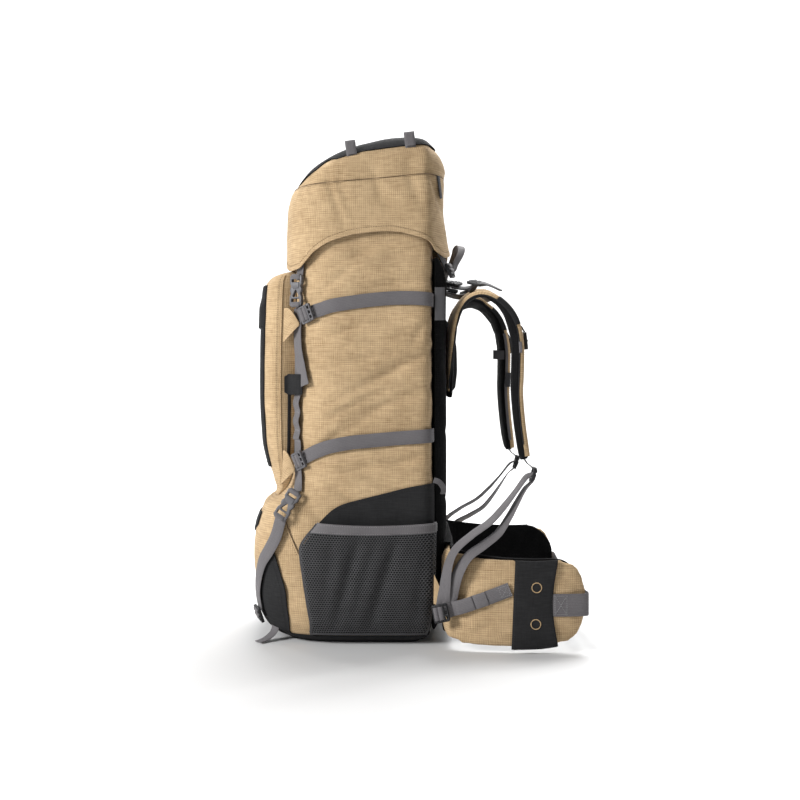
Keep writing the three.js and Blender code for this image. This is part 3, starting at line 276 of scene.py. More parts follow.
STRAP_END = [
    (159, -124, 273, 0, 1, 0), (164, -124.5, 265, 0, 1, 0), (170, -125.5, 260, 0, 1, 0),
    (173.5, -126, 256, 0, 1, 0),
]
BACK_LOOP = [
    (26, -160.5, 243, 0.2, 0, 1), (33, -158.5, 240.5, 0.5, 0, 0.85), (38.5, -153, 234, 0.8, 0.1, 0.5),
    (40.8, -146, 227, 1, 0.1, 0.1), (39.5, -138, 221, 1, 0.1, 0),
]
# Straps laid on the bag: angle from the back, and height
UPPER_STRAP = [
    (53, 503), (56.5, 504.4), (62.5, 505.8), (71.3, 505.8), (84.6, 502.9), (95, 499.3), (105.8, 494.5),
    (112, 489.5), (119, 484.7),
]
LOWER_STRAP = [
    (53, 307), (56.5, 306.2), (62.5, 304.9), (71.3, 302.8), (84.6, 299.4), (95, 296.6), (105.8, 290.8),
    (113.3, 283.5), (118.6, 277), (122.6, 272),
]
LID_STRAP = [(SIDE_STRAP_ANGLE, 572), (SIDE_STRAP_ANGLE, 552), (SIDE_STRAP_ANGLE, 535)]
SIDE_STRAP = [
    (SIDE_STRAP_ANGLE, 497), (SIDE_STRAP_ANGLE, 470), (SIDE_STRAP_ANGLE, 400), (SIDE_STRAP_ANGLE, 330),
    (SIDE_STRAP_ANGLE, 280), (126.3, 255), (125, 240), (124, 223),
]
BASE_STRAP = [(129, 188), (131.3, 159), (135.3, 137), (139, 122), (143.3, 97), (146.5, 71), (147.5, 45)]
SIDE_TAIL = [(126.8, 493), (126.5, 470), (124.9, 430), (122.2, 405), (119.8, 379)]
# The dark keeper round the side strap: angle and distance from the bag
KEEPER = [(121.5, 3.6), (123, 6.4), (126, 8), (129.5, 8.4), (131.7, 9.5), (132.5, 13), (132.8, 17)]
# Sewn loops in the side strap's webbing
DAISY = {"high": 366, "low": 300, "waves": 2.5, "depth": 2.8}


# Lines and meshes
def spline(points, at):
    """Points of a smooth line through a list, at places from 0 to 1 along it."""
    points = np.asarray(points, float)
    ends = np.vstack([2 * points[0] - points[1], points, 2 * points[-1] - points[-2]])
    place = np.clip(at, 0, 1) * (len(points) - 1)
    i = np.minimum(place.astype(int), len(points) - 2)
    t = (place - i)[:, None]
    a, b, c, d = ends[i], ends[i + 1], ends[i + 2], ends[i + 3]

    def knot(p, q):
        return np.maximum(np.linalg.norm(q - p, axis=1, keepdims=True) ** 0.5, 1e-6)

    k0, k1, k2 = knot(a, b), knot(b, c), knot(c, d)
    m0 = ((b - a) / k0 - (c - a) / (k0 + k1) + (c - b) / k1) * k1
    m1 = ((c - b) / k1 - (d - b) / (k1 + k2) + (d - c) / k2) * k1
    return b + t * m0 + t * t * (3 * (c - b) - 2 * m0 - m1) + t**3 * (2 * (b - c) + m0 + m1)


def run_of(line):
    """Length along a line to each of its points."""
    return np.concatenate([[0], np.cumsum(np.linalg.norm(np.diff(line, axis=0), axis=1))])


def evenly(line, step, *others):
    """A line taken again at even steps, with the values that go along with it."""
    run = run_of(line)
    at = np.linspace(0, run[-1], max(int(run[-1] / step), 2) + 1)
    taken = []
    for values in (line, *others):
        columns = np.asarray(values, float).T
        taken.append(np.stack([np.interp(at, run, column) for column in columns], -1))
    return taken if others else taken[0]


def quads(rows, cols, wrap=False):
    """Four-cornered faces of a grid, with the row and column of each corner."""
    r, c = np.meshgrid(np.arange(rows - 1), np.arange(cols if wrap else cols - 1), indexing="ij")
    r, c = r.ravel(), c.ravel()
    corners = np.stack([r, r, r + 1, r + 1], -1), np.stack([c, c + 1, c + 1, c], -1)
    return corners[0] * cols + corners[1] % cols, corners


def outward(part):
    """A part with its faces turned out of its volume."""
    points, blocks = part
    volume = 0
    for faces, _ in blocks:
        a, b, c = points[faces[:, 0]], points[faces[:, 1]], points[faces[:, 2]]
        volume += np.sum(a * np.cross(b, c))
        if faces.shape[1] == 4:
            volume += np.sum(a * np.cross(c, points[faces[:, 3]]))
    return part if volume > 0 else (points, [(f[:, ::-1], uv[:, ::-1]) for f, uv in blocks])


def shell(outer, inner, u, v, wrap=False, capped=()):
    """A closed wall between two grids, with the cloth's own place u and v in mm at each point.
    An end row named in capped is closed by a face across it, and not by a rim between the grids."""
    rows, cols = outer.shape[:2]
    places = np.stack(np.broadcast_arrays(np.atleast_2d(u), np.reshape(v, (rows, -1))), -1)
    faces, (r, c) = quads(rows, cols, wrap)
    uv = places[r, c]
    count = rows * cols
    grid = np.arange(count).reshape(rows, cols)
    blocks = [(faces, uv), (faces[:, ::-1] + count, uv[:, ::-1])]

    def rim(line, place, turn):
        a, b = line[:-1], line[1:]
        p, q = place[: len(a)], place[1 : len(a) + 1]
        band = np.stack([b, a, a + count, b + count], -1)
        blocks.append((band[:, ::turn], np.stack([q, p, p, q], 1)[:, ::turn]))

    for row, turn in ((0, 1), (rows - 1, -1)):
        if row in capped:
            ring = grid[row][::turn][None]
            flat = np.zeros((1, cols, 2))
            blocks += [(ring[:, ::-1], flat), (ring + count, flat)]
        else:
            rim(np.append(grid[row], grid[row][0]) if wrap else grid[row], places[row], turn)
    if not wrap:
        for col, turn in ((0, -1), (cols - 1, 1)):
            rim(grid[:, col], places[:, col], turn)
    return outward((np.concatenate([outer.reshape(-1, 3), inner.reshape(-1, 3)]), blocks))


def tube(rings, u, v):
    """A closed body skinned over rings of points, with flat ends."""
    rows, cols = rings.shape[:2]
    faces, (r, c) = quads(rows, cols, True)
    places = np.stack(np.broadcast_arrays(np.atleast_2d(u), np.reshape(v, (rows, 1))), -1)
    ring = np.arange(cols)[None]
    first = ring[:, ::-1], places[:1, :cols][:, ::-1]
    last = ring + (rows - 1) * cols, places[-1:, :cols]
    return outward((rings.reshape(-1, 3), [(faces, places[r, c]), first, last]))


def framed(line, across):
    """Unit vectors along a line, across it and out of its face."""
    along = unit(np.gradient(line, axis=0))
    across = unit(across - along * np.sum(across * along, -1, keepdims=True))
    return along, across, np.cross(along, across)


def strap(line, across, width, thick=WEB):
    """Flat webbing with rounded edges along a line."""
    _, across, face = framed(line, np.broadcast_to(across, line.shape))
    half = np.broadcast_to(np.asarray(width, float), len(line)) / 2
    q = thick / 2
    edge = min(q, 0.8)
    section = [
        (-1, -edge, -q), (-0.33, 0, -q), (0.33, 0, -q), (1, -edge, -q), (1, 0, -q * 0.3), (1, 0, q * 0.3),
        (1, -edge, q), (0.33, 0, q), (-0.33, 0, q), (-1, -edge, q), (-1, 0, q * 0.3), (-1, 0, -q * 0.3),
    ]
    ring, u = [], []
    for side, back, rise in section:
        reach = side * half + np.sign(side) * back
        ring.append(line + across * reach[:, None] + face * rise)
        u.append(reach[0])
    return tube(np.stack(ring, 1), np.array([*u, u[0]]), run_of(line))


def rings_round(line, along, radius, sides):
    helper = np.where(np.abs(along[:, 2:]) < 0.9, (0, 0, 1), (1, 0, 0))
    a = unit(np.cross(along, helper))
    b = np.cross(along, a)
    turn = np.linspace(0, 2 * math.pi, sides, endpoint=False)[:, None]
    return line[:, None] + radius * (a[:, None] * np.cos(turn) + b[:, None] * np.sin(turn))


def rod(line, radius, sides=8):
    """A round cord or piping along a line."""
    rings = rings_round(line, unit(np.gradient(line, axis=0)), radius, sides)
    return tube(rings, np.linspace(0, 2 * math.pi * radius, sides + 1), run_of(line))


def loop_rod(line, radius, sides=8):
    """Piping along a closed line."""
    rings = rings_round(line, unit(np.roll(line, -1, 0) - np.roll(line, 1, 0)), radius, sides)
    faces, (r, c) = quads(len(line) + 1, sides, True)
    places = np.stack([c * 2 * math.pi * radius / sides, r * 2.0], -1)
    return outward((rings.reshape(-1, 3), [(faces % (len(line) * sides), places)]))


def stitches(line, face, pitch=3.6, long=2.5, wide=0.8, high=0.5):
    """A row of thread stitches along a line on a surface that faces a way."""
    line, face = evenly(line, pitch, np.broadcast_to(face, line.shape))
    along = unit(np.gradient(line, axis=0))
    side = unit(np.cross(along, face))
    out = unit(face)
    tip, edge = along * long / 2, side * wide / 2
    corners = [-tip, edge, out * high, -edge, -out * 0.4, tip]
    points = np.stack([line + c for c in corners], 1)
    start = [(0, 2, 1), (0, 3, 2), (0, 4, 3), (0, 1, 4)]
    end = [(5, 1, 2), (5, 2, 3), (5, 3, 4), (5, 4, 1)]
    pattern = np.array(start + end)
    faces = (pattern[None] + 6 * np.arange(len(line))[:, None, None]).reshape(-1, 3)
    return outward((points.reshape(-1, 3), [(faces, np.zeros((len(faces), 3, 2)))]))


def plate(outline, holes, thick, low=0.0, soft=0.7):
    """A flat moulding with rounded edges, from an outline and holes, lying with its strap along X."""
    bevel = [(0, soft), (soft * 0.3, soft * 0.3), (soft, 0)]
    steps = [*bevel, *[(thick - z, inset) for z, inset in bevel[::-1]]]
    rings = [np.asarray(outline, float), *[np.asarray(h, float) for h in holes]]
    points, blocks, base = [], [], 0
    lids = {0: [], len(steps) - 1: []}
    for number, ring in enumerate(rings):
        area = np.sum(ring[:, 0] * np.roll(ring[:, 1], -1) - np.roll(ring[:, 0], -1) * ring[:, 1])
        if (area > 0) == (number > 0):
            ring = ring[::-1]
        edge = unit(np.roll(ring, -1, 0) - ring)
        normal = np.stack([-edge[:, 1], edge[:, 0]], -1)
        inward = normal + np.roll(normal, 1, 0)
        inward = inward / np.maximum(np.sum(inward * normal, -1, keepdims=True), 0.5)
        count = len(ring)
        for k, (z, inset) in enumerate(steps):
            flat = ring + inward * inset
            points.append(np.column_stack([flat, np.full(count, low + z)]))
            if k in lids:
                lids[k].append((flat, base + k * count))
        faces, _ = quads(len(steps), count, True)
        blocks.append((faces + base, np.zeros((len(faces), 4, 2))))
        base += count * len(steps)
    for k, loops in lids.items():
        numbers = np.concatenate([start + np.arange(len(flat)) for flat, start in loops])
        corners = tessellate_polygon([[Vector((x, y, 0)) for x, y in flat] for flat, _ in loops])
        faces = numbers[np.array(corners)]
        flat = np.concatenate([f for f, _ in loops])[np.array(corners)]
        turn = flat[:, 1] - flat[:, 0], flat[:, 2] - flat[:, 0]
        wrong = (turn[0][:, 0] * turn[1][:, 1] - turn[0][:, 1] * turn[1][:, 0] > 0) != (k > 0)
        faces[wrong] = faces[wrong][:, ::-1]
        blocks.append((faces, np.zeros((len(faces), 3, 2))))
    return outward((np.concatenate(points), blocks))


def rounded(x0, y0, x1, y1, radius, steps=4):
    """A rectangle with round corners."""
    left, right, low, high = x0 + radius, x1 - radius, y0 + radius, y1 - radius
    points = []
    for x, y, start in ((right, low, -90), (right, high, 0), (left, high, 90), (left, low, 180)):
        for k in range(steps + 1):
            a = math.radians(start + 90 * k / steps)
            points.append((x + radius * math.cos(a), y + radius * math.sin(a)))
    return points


def seated(parts, place, along, out):
    """Parts drawn flat, turned so that their X lies along a strap and their Z out of its surface."""
    out = unit(np.asarray(out, float))
    side = unit(np.cross(out, np.asarray(along, float)))
    turn = np.stack([np.cross(side, out), side, out])
    return [(points @ turn + place, blocks) for points, blocks in parts]


def mirrored(parts, way=TO_LEFT):
    return [(p * way, [(f[:, ::-1], uv[:, ::-1]) for f, uv in blocks]) for p, blocks in parts]


def make(name, parts, material, replaces=()):
    """One piece from parts in mm, riding on the pack."""
    points, faces, uvs, base = [], [], [], 0
    for part_points, blocks in parts:
        points.append(part_points)
        for block, uv in blocks:
            faces += (block + base).tolist()
            uvs.append(uv.reshape(-1, 2))
        base += len(part_points)
    mesh = bpy.data.meshes.new(name)
    mesh.from_pydata((np.concatenate(points) * MM).tolist(), [], faces)
    layer = mesh.uv_layers.new(name="cloth")
    layer.data.foreach_set("uv", np.concatenate(uvs).astype(np.float32).ravel())
    mesh.polygons.foreach_set("use_smooth", np.ones(len(faces), bool))
    mesh.set_sharp_from_angle(angle=math.radians(50))
    mesh.materials.append(material)
    piece = bpy.data.objects.new(name, mesh)
    bpy.context.scene.collection.objects.link(piece)
    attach(piece, "root")
    if replaces:
        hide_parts(*replaces)
    return piece


def pair(name, parts, material, nodes=()):
    """A piece on the wearer's right and its mirror image on the left."""
    made = []
    for side, own in (("right", parts), ("left", mirrored(parts))):
        made.append(make(f"{name}_{side}", own, material, [f"{n}_{side}" for n in nodes]))
    return made


# Surfaces of the bag, lid and pockets
def section_radius(table, z, angle):
    """Distance from the axis to a section's edge; the lid's has a slanted back corner."""
    along, across = np.cos(angle), np.sin(angle)
    reach = np.where(along > 0, table("back", z) - BAG_AXIS, BAG_AXIS - table("front", z))
    power = np.where(along > 0, BACK_POWER, FRONT_POWER)
    radius = (np.abs(along / reach) ** power + np.abs(across / table("half", z)) ** power) ** (-1 / power)
    if table is not LID:
        return radius
    slope = 0.88 * np.maximum(along, 0) + 0.47 * np.abs(across)
    corner = (0.88 * LID_CORNER + 0.463 * table("half", z)) / slope
    return np.where(along > 0, (radius**-30 + corner**-30) ** (-1 / 30), radius)


def fold_sum(folds, x, z):
    """Height of folds that each have a middle, a slant, a half length, a half width and a height."""
    total = np.zeros(np.broadcast(x, z).shape)
    for fold_x, fold_z, rise, long, wide, high in folds:
        c, s = math.cos(math.radians(rise)), math.sin(math.radians(rise))
        along = (x - fold_x) * c + (z - fold_z) * s
        across = (z - fold_z) * c - (x - fold_x) * s
        total += high * bell(along, long) * bell(across, wide)
    return total


def bag_radius(angle, z):
    """Distance to the bag's surface, with its folds and the hollows under its straps."""
    plain = section_radius(BAG, z, angle)
    x = BAG_AXIS + plain * np.cos(angle)
    rise = fold_sum(FOLDS, x, z)
    for back_z, front_z, depth, spread in CINCHES:
        line = front_z + (x + 150) * (back_z - front_z) / 176
        rise = rise - depth * bell(z - line, spread)
    return plain + rise * smooth(np.abs(np.sin(angle)), 0.72, 0.95)


def polar(radius, angle, z):
    return np.stack(np.broadcast_arrays(BAG_AXIS + radius * np.cos(angle), radius * np.sin(angle), z), -1)


def level_out(radius_at, angle):
    """The level way out of a section at an angle."""
    step = 0.01
    before = polar(radius_at(angle - step), angle - step, 0.0)
    after = polar(radius_at(angle + step), angle + step, 0.0)
    along = unit(after - before)
    return np.stack([along[..., 1], -along[..., 0], np.zeros(along.shape[:-1])], -1)


def bag_point(degrees, z, height=0.0):
    """A point over the bag by angle from the back, height, and distance out."""
    degrees, z, height = np.broadcast_arrays(np.asarray(degrees, float), np.asarray(z, float), height)
    angle = np.radians(degrees)

    def radius_at(a):
        return bag_radius(a, z)

    return polar(radius_at(angle), angle, z) + level_out(radius_at, angle) * height[..., None]


def right_point(degrees, z, height=0.0):
    """The same by an angle towards the wearer's right."""
    return bag_point(-np.asarray(degrees, float), z, height)


def bag_out(degrees, z):
    """The level way out of the bag at an angle and height."""
    z = np.asarray(z, float)
    return level_out(lambda a: bag_radius(a, z), np.radians(np.asarray(degrees, float)))


def right_out(degrees, z):
    return bag_out(-np.asarray(degrees, float), z)


def from_back(degrees):
    """An angle's size from the back, whichever way round."""
    return np.abs((degrees + 180) % 360 - 180)


def round_bag(count):
    """Angles evenly spaced along the cloth round the bag from its back, with the cloth's length to each."""
    fine = np.linspace(0, 360, 1441)
    run = run_of(bag_point(fine, 300.0))
    at = np.linspace(0, run[-1], count + 1)
    return np.interp(at, run, fine), at


def cloth_length(degrees):
    """Length of cloth from the bag's back to an angle."""
    fine = np.linspace(0, 360, 1441)
    return np.interp(np.mod(degrees, 360), fine, run_of(bag_point(fine, 300.0)))


def rumple(points, size, seed):
    """Soft unevenness from 0 to 1 at points in mm."""
    shifted = points.reshape(-1, 3) / size + seed
    values = np.array([noise.noise(Vector(p)) for p in shifted])
    return (0.5 + 0.5 * values).reshape(points.shape[:-1])


def lid_point(degrees, level, height=0.0):
    """The lid's surface: level 0 to 1 runs up its skirt, and 1 to 2 over its dome."""
    degrees, level = np.asarray(degrees, float), np.asarray(level, float)
    degrees, level, height = np.broadcast_arrays(degrees, level, height)
    angle = np.radians(degrees)
    hem = LID_HEM("z", from_back(degrees))
    top = LID.data[-1, 0]
    seam_radius = section_radius(LID, top, angle)
    seam_z = LID_SEAM("z", BAG_AXIS + seam_radius * np.cos(angle))
    z = hem + (seam_z - hem) * np.clip(level, 0, 1)
    skirt = polar(section_radius(LID, z, angle), angle, z)
    skirt = skirt + level_out(lambda a: section_radius(LID, z, a), angle) * height[..., None]
    lift = np.clip(level - 1, 0, 1) * math.pi / 2
    shrink = np.cos(lift).clip(0) ** (2 / LID_DOME_POWER)
    rise = np.sin(lift) ** (2 / LID_DOME_POWER)
    dome = polar(seam_radius * shrink, angle, 0.0)
    low, high = LID_SEAM("z", dome[..., 0]), LID_CROWN("z", dome[..., 0])
    dome[..., 2] = low + (high - low) * rise + height * rise
    side = height * shrink * (1 - rise * 0.5)
    dome = dome + level_out(lambda a: section_radius(LID, top, a), angle) * side[..., None]
    return np.where((level <= 1)[..., None], skirt, dome)


def dome_level(share):
    """The lid's level where its dome has shrunk to a share of its reach."""
    return 1 + np.arccos(np.clip(share, 0, 1) ** (LID_DOME_POWER / 2)) / (math.pi / 2)


def pocket_point(across, z, height=0.0):
    """The front pocket's outer surface: across runs from -1 to 1."""
    span = POCKET("span", z)
    side = np.maximum(1 - np.abs(across) ** POCKET_POWER, 0) ** (1 / POCKET_POWER)
    depth = GAP + CLOTH + (POCKET("depth", z) - CLOTH) * side
    return bag_point(180 + span * across, z, depth + height)


def crowded(count, power):
    """Places from -1 to 1 that crowd towards the ends, as round a boxy section."""
    return -powered(np.cos(np.linspace(0, math.pi, count)), 2 / power)


def mesh_point(degrees, z, height=0.0):
    """The mesh pocket's inner face on the wearer's right, with the folds that hang in it."""
    low = BASE_LIP + 1.5
    front = MESH_FRONT("angle", z)
    u = np.clip((degrees - MESH_BACK_ANGLE) / (front - MESH_BACK_ANGLE), 0, 1)
    across = np.maximum(1 - np.abs(2 * u - 1) ** 3, 0) ** (1 / 3)
    rise = np.sin(np.clip((z - low) / 85, 0, 1) * math.pi / 2)
    x = right_point(degrees, z)[..., 0]
    fold = 0
    for place, lean, wide, depth in MESH_FOLDS:
        fold = fold + depth * bell(x - place - lean * (z - MESH_TOP), wide) * smooth(MESH_TOP - z, 2, 50)
    body = (MESH_BULGE - np.minimum(fold, 9)) * across * rise
    z = z - 3.2 * np.sin(math.pi * u) * smooth(z, MESH_TOP - 60, MESH_TOP)
    return right_point(degrees, z, 3 + body + height)


# Materials
def srgb(r, g, b):
    """A colour as the screen shows it, in the shader's own scale."""
    return (*[((c / 255 + 0.055) / 1.055) ** 2.4 if c > 10 else c / 255 / 12.92 for c in (r, g, b)], 1)


class Shade:
    """A material under construction: sums over the cloth's own place, then colour, roughness and bump."""

    def __init__(self, name, roughness, sheen=0.0, gloss=0.3):
        self.material = bpy.data.materials.new(name)
        self.material.use_nodes = True
        self.nodes, self.links = self.material.node_tree.nodes, self.material.node_tree.links
        self.shader = self.nodes["Principled BSDF"]
        self.shader.inputs["Roughness"].default_value = roughness
        self.shader.inputs["Sheen Weight"].default_value = sheen
        self.shader.inputs["Specular IOR Level"].default_value = gloss
        self.uv = self.add("UVMap", uv_map="cloth").outputs[0]
        self.place = self.add("TexCoord").outputs["Object"]

    def add(self, kind, **settings):
        node = self.nodes.new("ShaderNode" + kind)
        for key, value in settings.items():
            setattr(node, key, value)
        return node

    def put(self, socket, value):
        if isinstance(value, bpy.types.NodeSocket):
            self.links.new(value, socket)
        else:
            socket.default_value = value

    def math(self, operation, *values):
        node = self.add("Math", operation=operation)
        for socket, value in zip(node.inputs, values):
            self.put(socket, value)
        return node.outputs[0]

    def scaled(self, vector, x, y, z):
        node = self.add("VectorMath", operation="MULTIPLY")
        self.put(node.inputs[0], vector)
        node.inputs[1].default_value = (x, y, z)
        return node.outputs[0]

    def noise(self, vector, scale, detail=2.0):
        node = self.add("TexNoise")
        self.put(node.inputs["Vector"], vector)
        node.inputs["Scale"].default_value = scale
        node.inputs["Detail"].default_value = detail
        return node.outputs[0]

    def cells(self, vector, scale):
        node = self.add("TexVoronoi", feature="F1")
        self.put(node.inputs["Vector"], vector)
        node.inputs["Scale"].default_value = scale
        node.inputs["Randomness"].default_value = 0.25
        return node.outputs["Distance"]

    def split(self, vector):
        node = self.add("SeparateXYZ")
        self.put(node.inputs[0], vector)
        return node.outputs[0], node.outputs[1]

    def ridges(self, value, pitch):
        """Rounded ridges at a pitch, from 0 between them to 1 on them."""
        return self.math("ABSOLUTE", self.math("SINE", self.math("MULTIPLY", value, math.pi / pitch)))

    def weighted(self, *pairs):
        """A sum of weights times values."""
        total = 0.0
        for weight, value in pairs:
            total = self.math("MULTIPLY_ADD", value, weight, total)
        return total

    def colour(self, factor, dark, light):
        node = self.add("Mix", data_type="RGBA")
        self.put(node.inputs[0], factor)
        node.inputs[6].default_value = dark
        node.inputs[7].default_value = light
        self.links.new(node.outputs[2], self.shader.inputs["Base Color"])

    def rough(self, factor, low, high):
        node = self.add("MapRange")
        self.put(node.inputs[0], factor)
        node.inputs[3].default_value, node.inputs[4].default_value = low, high
        self.links.new(node.outputs[0], self.shader.inputs["Roughness"])

    def bump(self, height, distance, strength=1.0):
        node = self.add("Bump")
        self.put(node.inputs["Height"], height)
        node.inputs["Distance"].default_value = distance * MM
        node.inputs["Strength"].default_value = strength
        self.links.new(node.outputs[0], self.shader.inputs["Normal"])


def weave(name, pitch, dark, light, roughness, sheen, tone, relief):
    """Plain woven cloth: crossing threads that show by turns, and whose tone wanders along them."""
    s = Shade(name, roughness, sheen, 0.12)
    u, v = s.split(s.uv)
    warp, weft = s.ridges(u, pitch), s.ridges(v, pitch)
    warp_tone = s.noise(s.scaled(s.uv, 0.8 / pitch, 0.05, 0), 1.0)
    weft_tone = s.noise(s.scaled(s.uv, 0.05, 0.8 / pitch, 0), 1.0)
    warp_shown = s.math("MULTIPLY_ADD", s.noise(s.scaled(s.uv, 0.09, 0.06, 3), 1.0), 3.4, -1.1)
    weft_shown = s.math("MULTIPLY_ADD", s.noise(s.scaled(s.uv, 0.05, 0.1, 9), 1.0), 3.4, -1.1)
    patch = s.noise(s.scaled(s.uv, 1, 1, 0), 0.02, 3.0)
    upright = s.math("MULTIPLY", s.math("SUBTRACT", warp, 0.637), warp_shown)
    level = s.math("MULTIPLY", s.math("SUBTRACT", weft, 0.637), weft_shown)
    factor = s.weighted((tone, upright), (tone, level), (0.3, warp_tone), (0.55, weft_tone), (0.5, patch))
    s.colour(s.math("SUBTRACT", factor, 0.175), dark, light)
    thread = s.math("MULTIPLY", warp, weft)
    s.rough(thread, roughness + 0.08, roughness - 0.05)
    s.bump(s.weighted((1.0, thread), (0.6, warp_tone), (0.6, weft_tone)), relief)
    return s.material


def padding(name, dark, light):
    """Knitted spacer cloth over foam, with its small open cells."""
    s = Shade(name, 0.95, 0.0, 0.06)
    cell = s.cells(s.place, 1 / (2.6 * MM))
    patch = s.noise(s.place, 22.0, 3.0)
    s.colour(s.weighted((0.55, cell), (0.6, patch)), dark, light)
    s.rough(cell, 0.95, 0.8)
    s.bump(s.weighted((1.0, cell), (0.7, patch)), 0.7)
    return s.material


def webbing(name, dark, light):
    """Narrow woven webbing: ribs along it, and a slanted twill that turns at each rib's middle."""
    s = Shade(name, 0.7, 0.1)
    u, v = s.split(s.uv)
    rib = s.ridges(u, 2.2)
    slant = s.math("MULTIPLY_ADD", s.math("PINGPONG", u, 2.2), 0.9, v)
    twill = s.ridges(slant, 1.5)
    grain = s.noise(s.scaled(s.uv, 1, 0.4, 0), 0.8, 4.0)
    patch = s.noise(s.scaled(s.uv, 1, 1, 0), 0.03, 2.0)
    s.colour(s.weighted((0.22, rib), (0.22, twill), (0.5, grain), (0.35, patch)), dark, light)
    s.rough(grain, 0.6, 0.8)
    s.bump(s.weighted((0.6, rib), (0.7, twill), (0.3, grain)), 0.22)
    return s.material


def plastic(name, dark, light):
    """Moulded plastic with a fine spark-eroded grain."""
    s = Shade(name, 0.45)
    grain = s.noise(s.place, 1400.0, 2.0)
    patch = s.noise(s.place, 60.0, 2.0)
    s.colour(s.weighted((0.5, grain), (0.5, patch)), dark, light)
    s.rough(grain, 0.36, 0.54)
    s.bump(grain, 0.06)
    return s.material


def yarn(name, dark, light):
    """Sewing thread and netting yarn, with its fibres."""
    s = Shade(name, 0.8, 0.1)
    fibre = s.noise(s.place, 1800.0, 3.0)
    patch = s.noise(s.place, 40.0, 2.0)
    s.colour(s.weighted((0.6, fibre), (0.4, patch)), dark, light)
    s.rough(fibre, 0.7, 0.9)
    s.bump(fibre, 0.15)
    return s.material


TAN = weave("tan_weave", 3.1, srgb(120, 96, 66), srgb(211, 184, 146), 0.84, 0.08, 0.33, 0.24)
BLACK = weave("black_weave", 1.3, srgb(18, 18, 19), srgb(52, 52, 53), 0.85, 0.0, 0.4, 0.18)
FOAM = padding("spacer_mesh", srgb(6, 6, 6), srgb(28, 28, 29))
GREY = webbing("grey_webbing", srgb(58, 56, 58), srgb(108, 105, 107))
DARK_WEB = webbing("dark_webbing", srgb(32, 32, 34), srgb(68, 67, 69))
NET = yarn("netting", srgb(48, 48, 49), srgb(88, 88, 90))
PLASTIC = plastic("grey_plastic", srgb(74, 73, 76), srgb(104, 103, 106))
DARK_PLASTIC = plastic("black_plastic", srgb(18, 18, 19), srgb(42, 42, 44))
TAN_THREAD = yarn("tan_thread", srgb(146, 120, 84), srgb(200, 172, 132))
DARK_THREAD = yarn("brown_thread", srgb(70, 55, 37), srgb(108, 88, 62))
GREY_THREAD = yarn("grey_thread", srgb(112, 110, 112), srgb(168, 166, 168))
BLACK_THREAD = yarn("black_thread", srgb(8, 8, 8), srgb(26, 26, 26))


# The stage
def place_camera():
    data = bpy.data.cameras.new("camera")
    data.lens, data.sensor_width = LENS, SENSOR
    data.shift_x = (PICTURE / 2 - VANISHING[0]) / PICTURE
    data.shift_y = (VANISHING[1] - PICTURE / 2) / PICTURE
    camera = bpy.data.objects.new("camera", data)
    camera.location = np.array(CAMERA) * MM
    camera.rotation_euler = (math.radians(90), 0, 0)
    bpy.context.scene.collection.objects.link(camera)
    bpy.context.scene.camera = camera


def light(name, place, aim, size, power):
    data = bpy.data.lights.new(name, "AREA")
    data.shape, data.size, data.energy = "DISK", size, power
    lamp = bpy.data.objects.new(name, data)
    lamp.location = place
    lamp.rotation_euler = (Vector(aim) - Vector(place)).to_track_quat("-Z", "Y").to_euler()
    bpy.context.scene.collection.objects.link(lamp)


def stage():
    """A pale floor that curves up into a wall, four lamps and a dim white world."""
    world = bpy.data.worlds.new("studio")
    world.use_nodes = True
    world.node_tree.nodes["Background"].inputs["Color"].default_value = (1, 1, 1, 1)
    world.node_tree.nodes["Background"].inputs["Strength"].default_value = 0.3
    bpy.context.scene.world = world
    bpy.context.scene.view_settings.view_transform = "Standard"
    light("key", (-2.9, -1.8, 1.7), (0, 0, 0.35), 1.4, 153)
    light("top", (0.3, 1.2, 2.9), (0, 0, 0.2), 2.2, 160)
    light("wall_left", (-2.6, 2.2, 3.2), (0, 6, 1.4), 2.0, 240)
    light("wall_right", (2.6, 2.2, 3.2), (0, 6, 1.4), 2.0, 240)
    turn = np.linspace(0, math.pi / 2, 16)
    profile = [(-9, 0), (4, 0), *[(4 + 2 * math.sin(a), 2 - 2 * math.cos(a)) for a in turn[1:]], (6, 9)]
    across = np.linspace(-9, 9, 5)
    points = [(x, y, z) for y, z in profile for x in across]
    faces, _ = quads(len(profile), len(across))
    mesh = bpy.data.meshes.new("floor")
    mesh.from_pydata(points, [], faces.tolist())
    mesh.polygons.foreach_set("use_smooth", np.ones(len(faces), bool))
    s = Shade("pale_floor", 0.7)
    s.colour(s.noise(s.place, 1.5, 2.0), srgb(202, 202, 202), srgb(210, 210, 210))
    mesh.materials.append(s.material)
    floor = bpy.data.objects.new("floor", mesh)
    bpy.context.scene.collection.objects.link(floor)


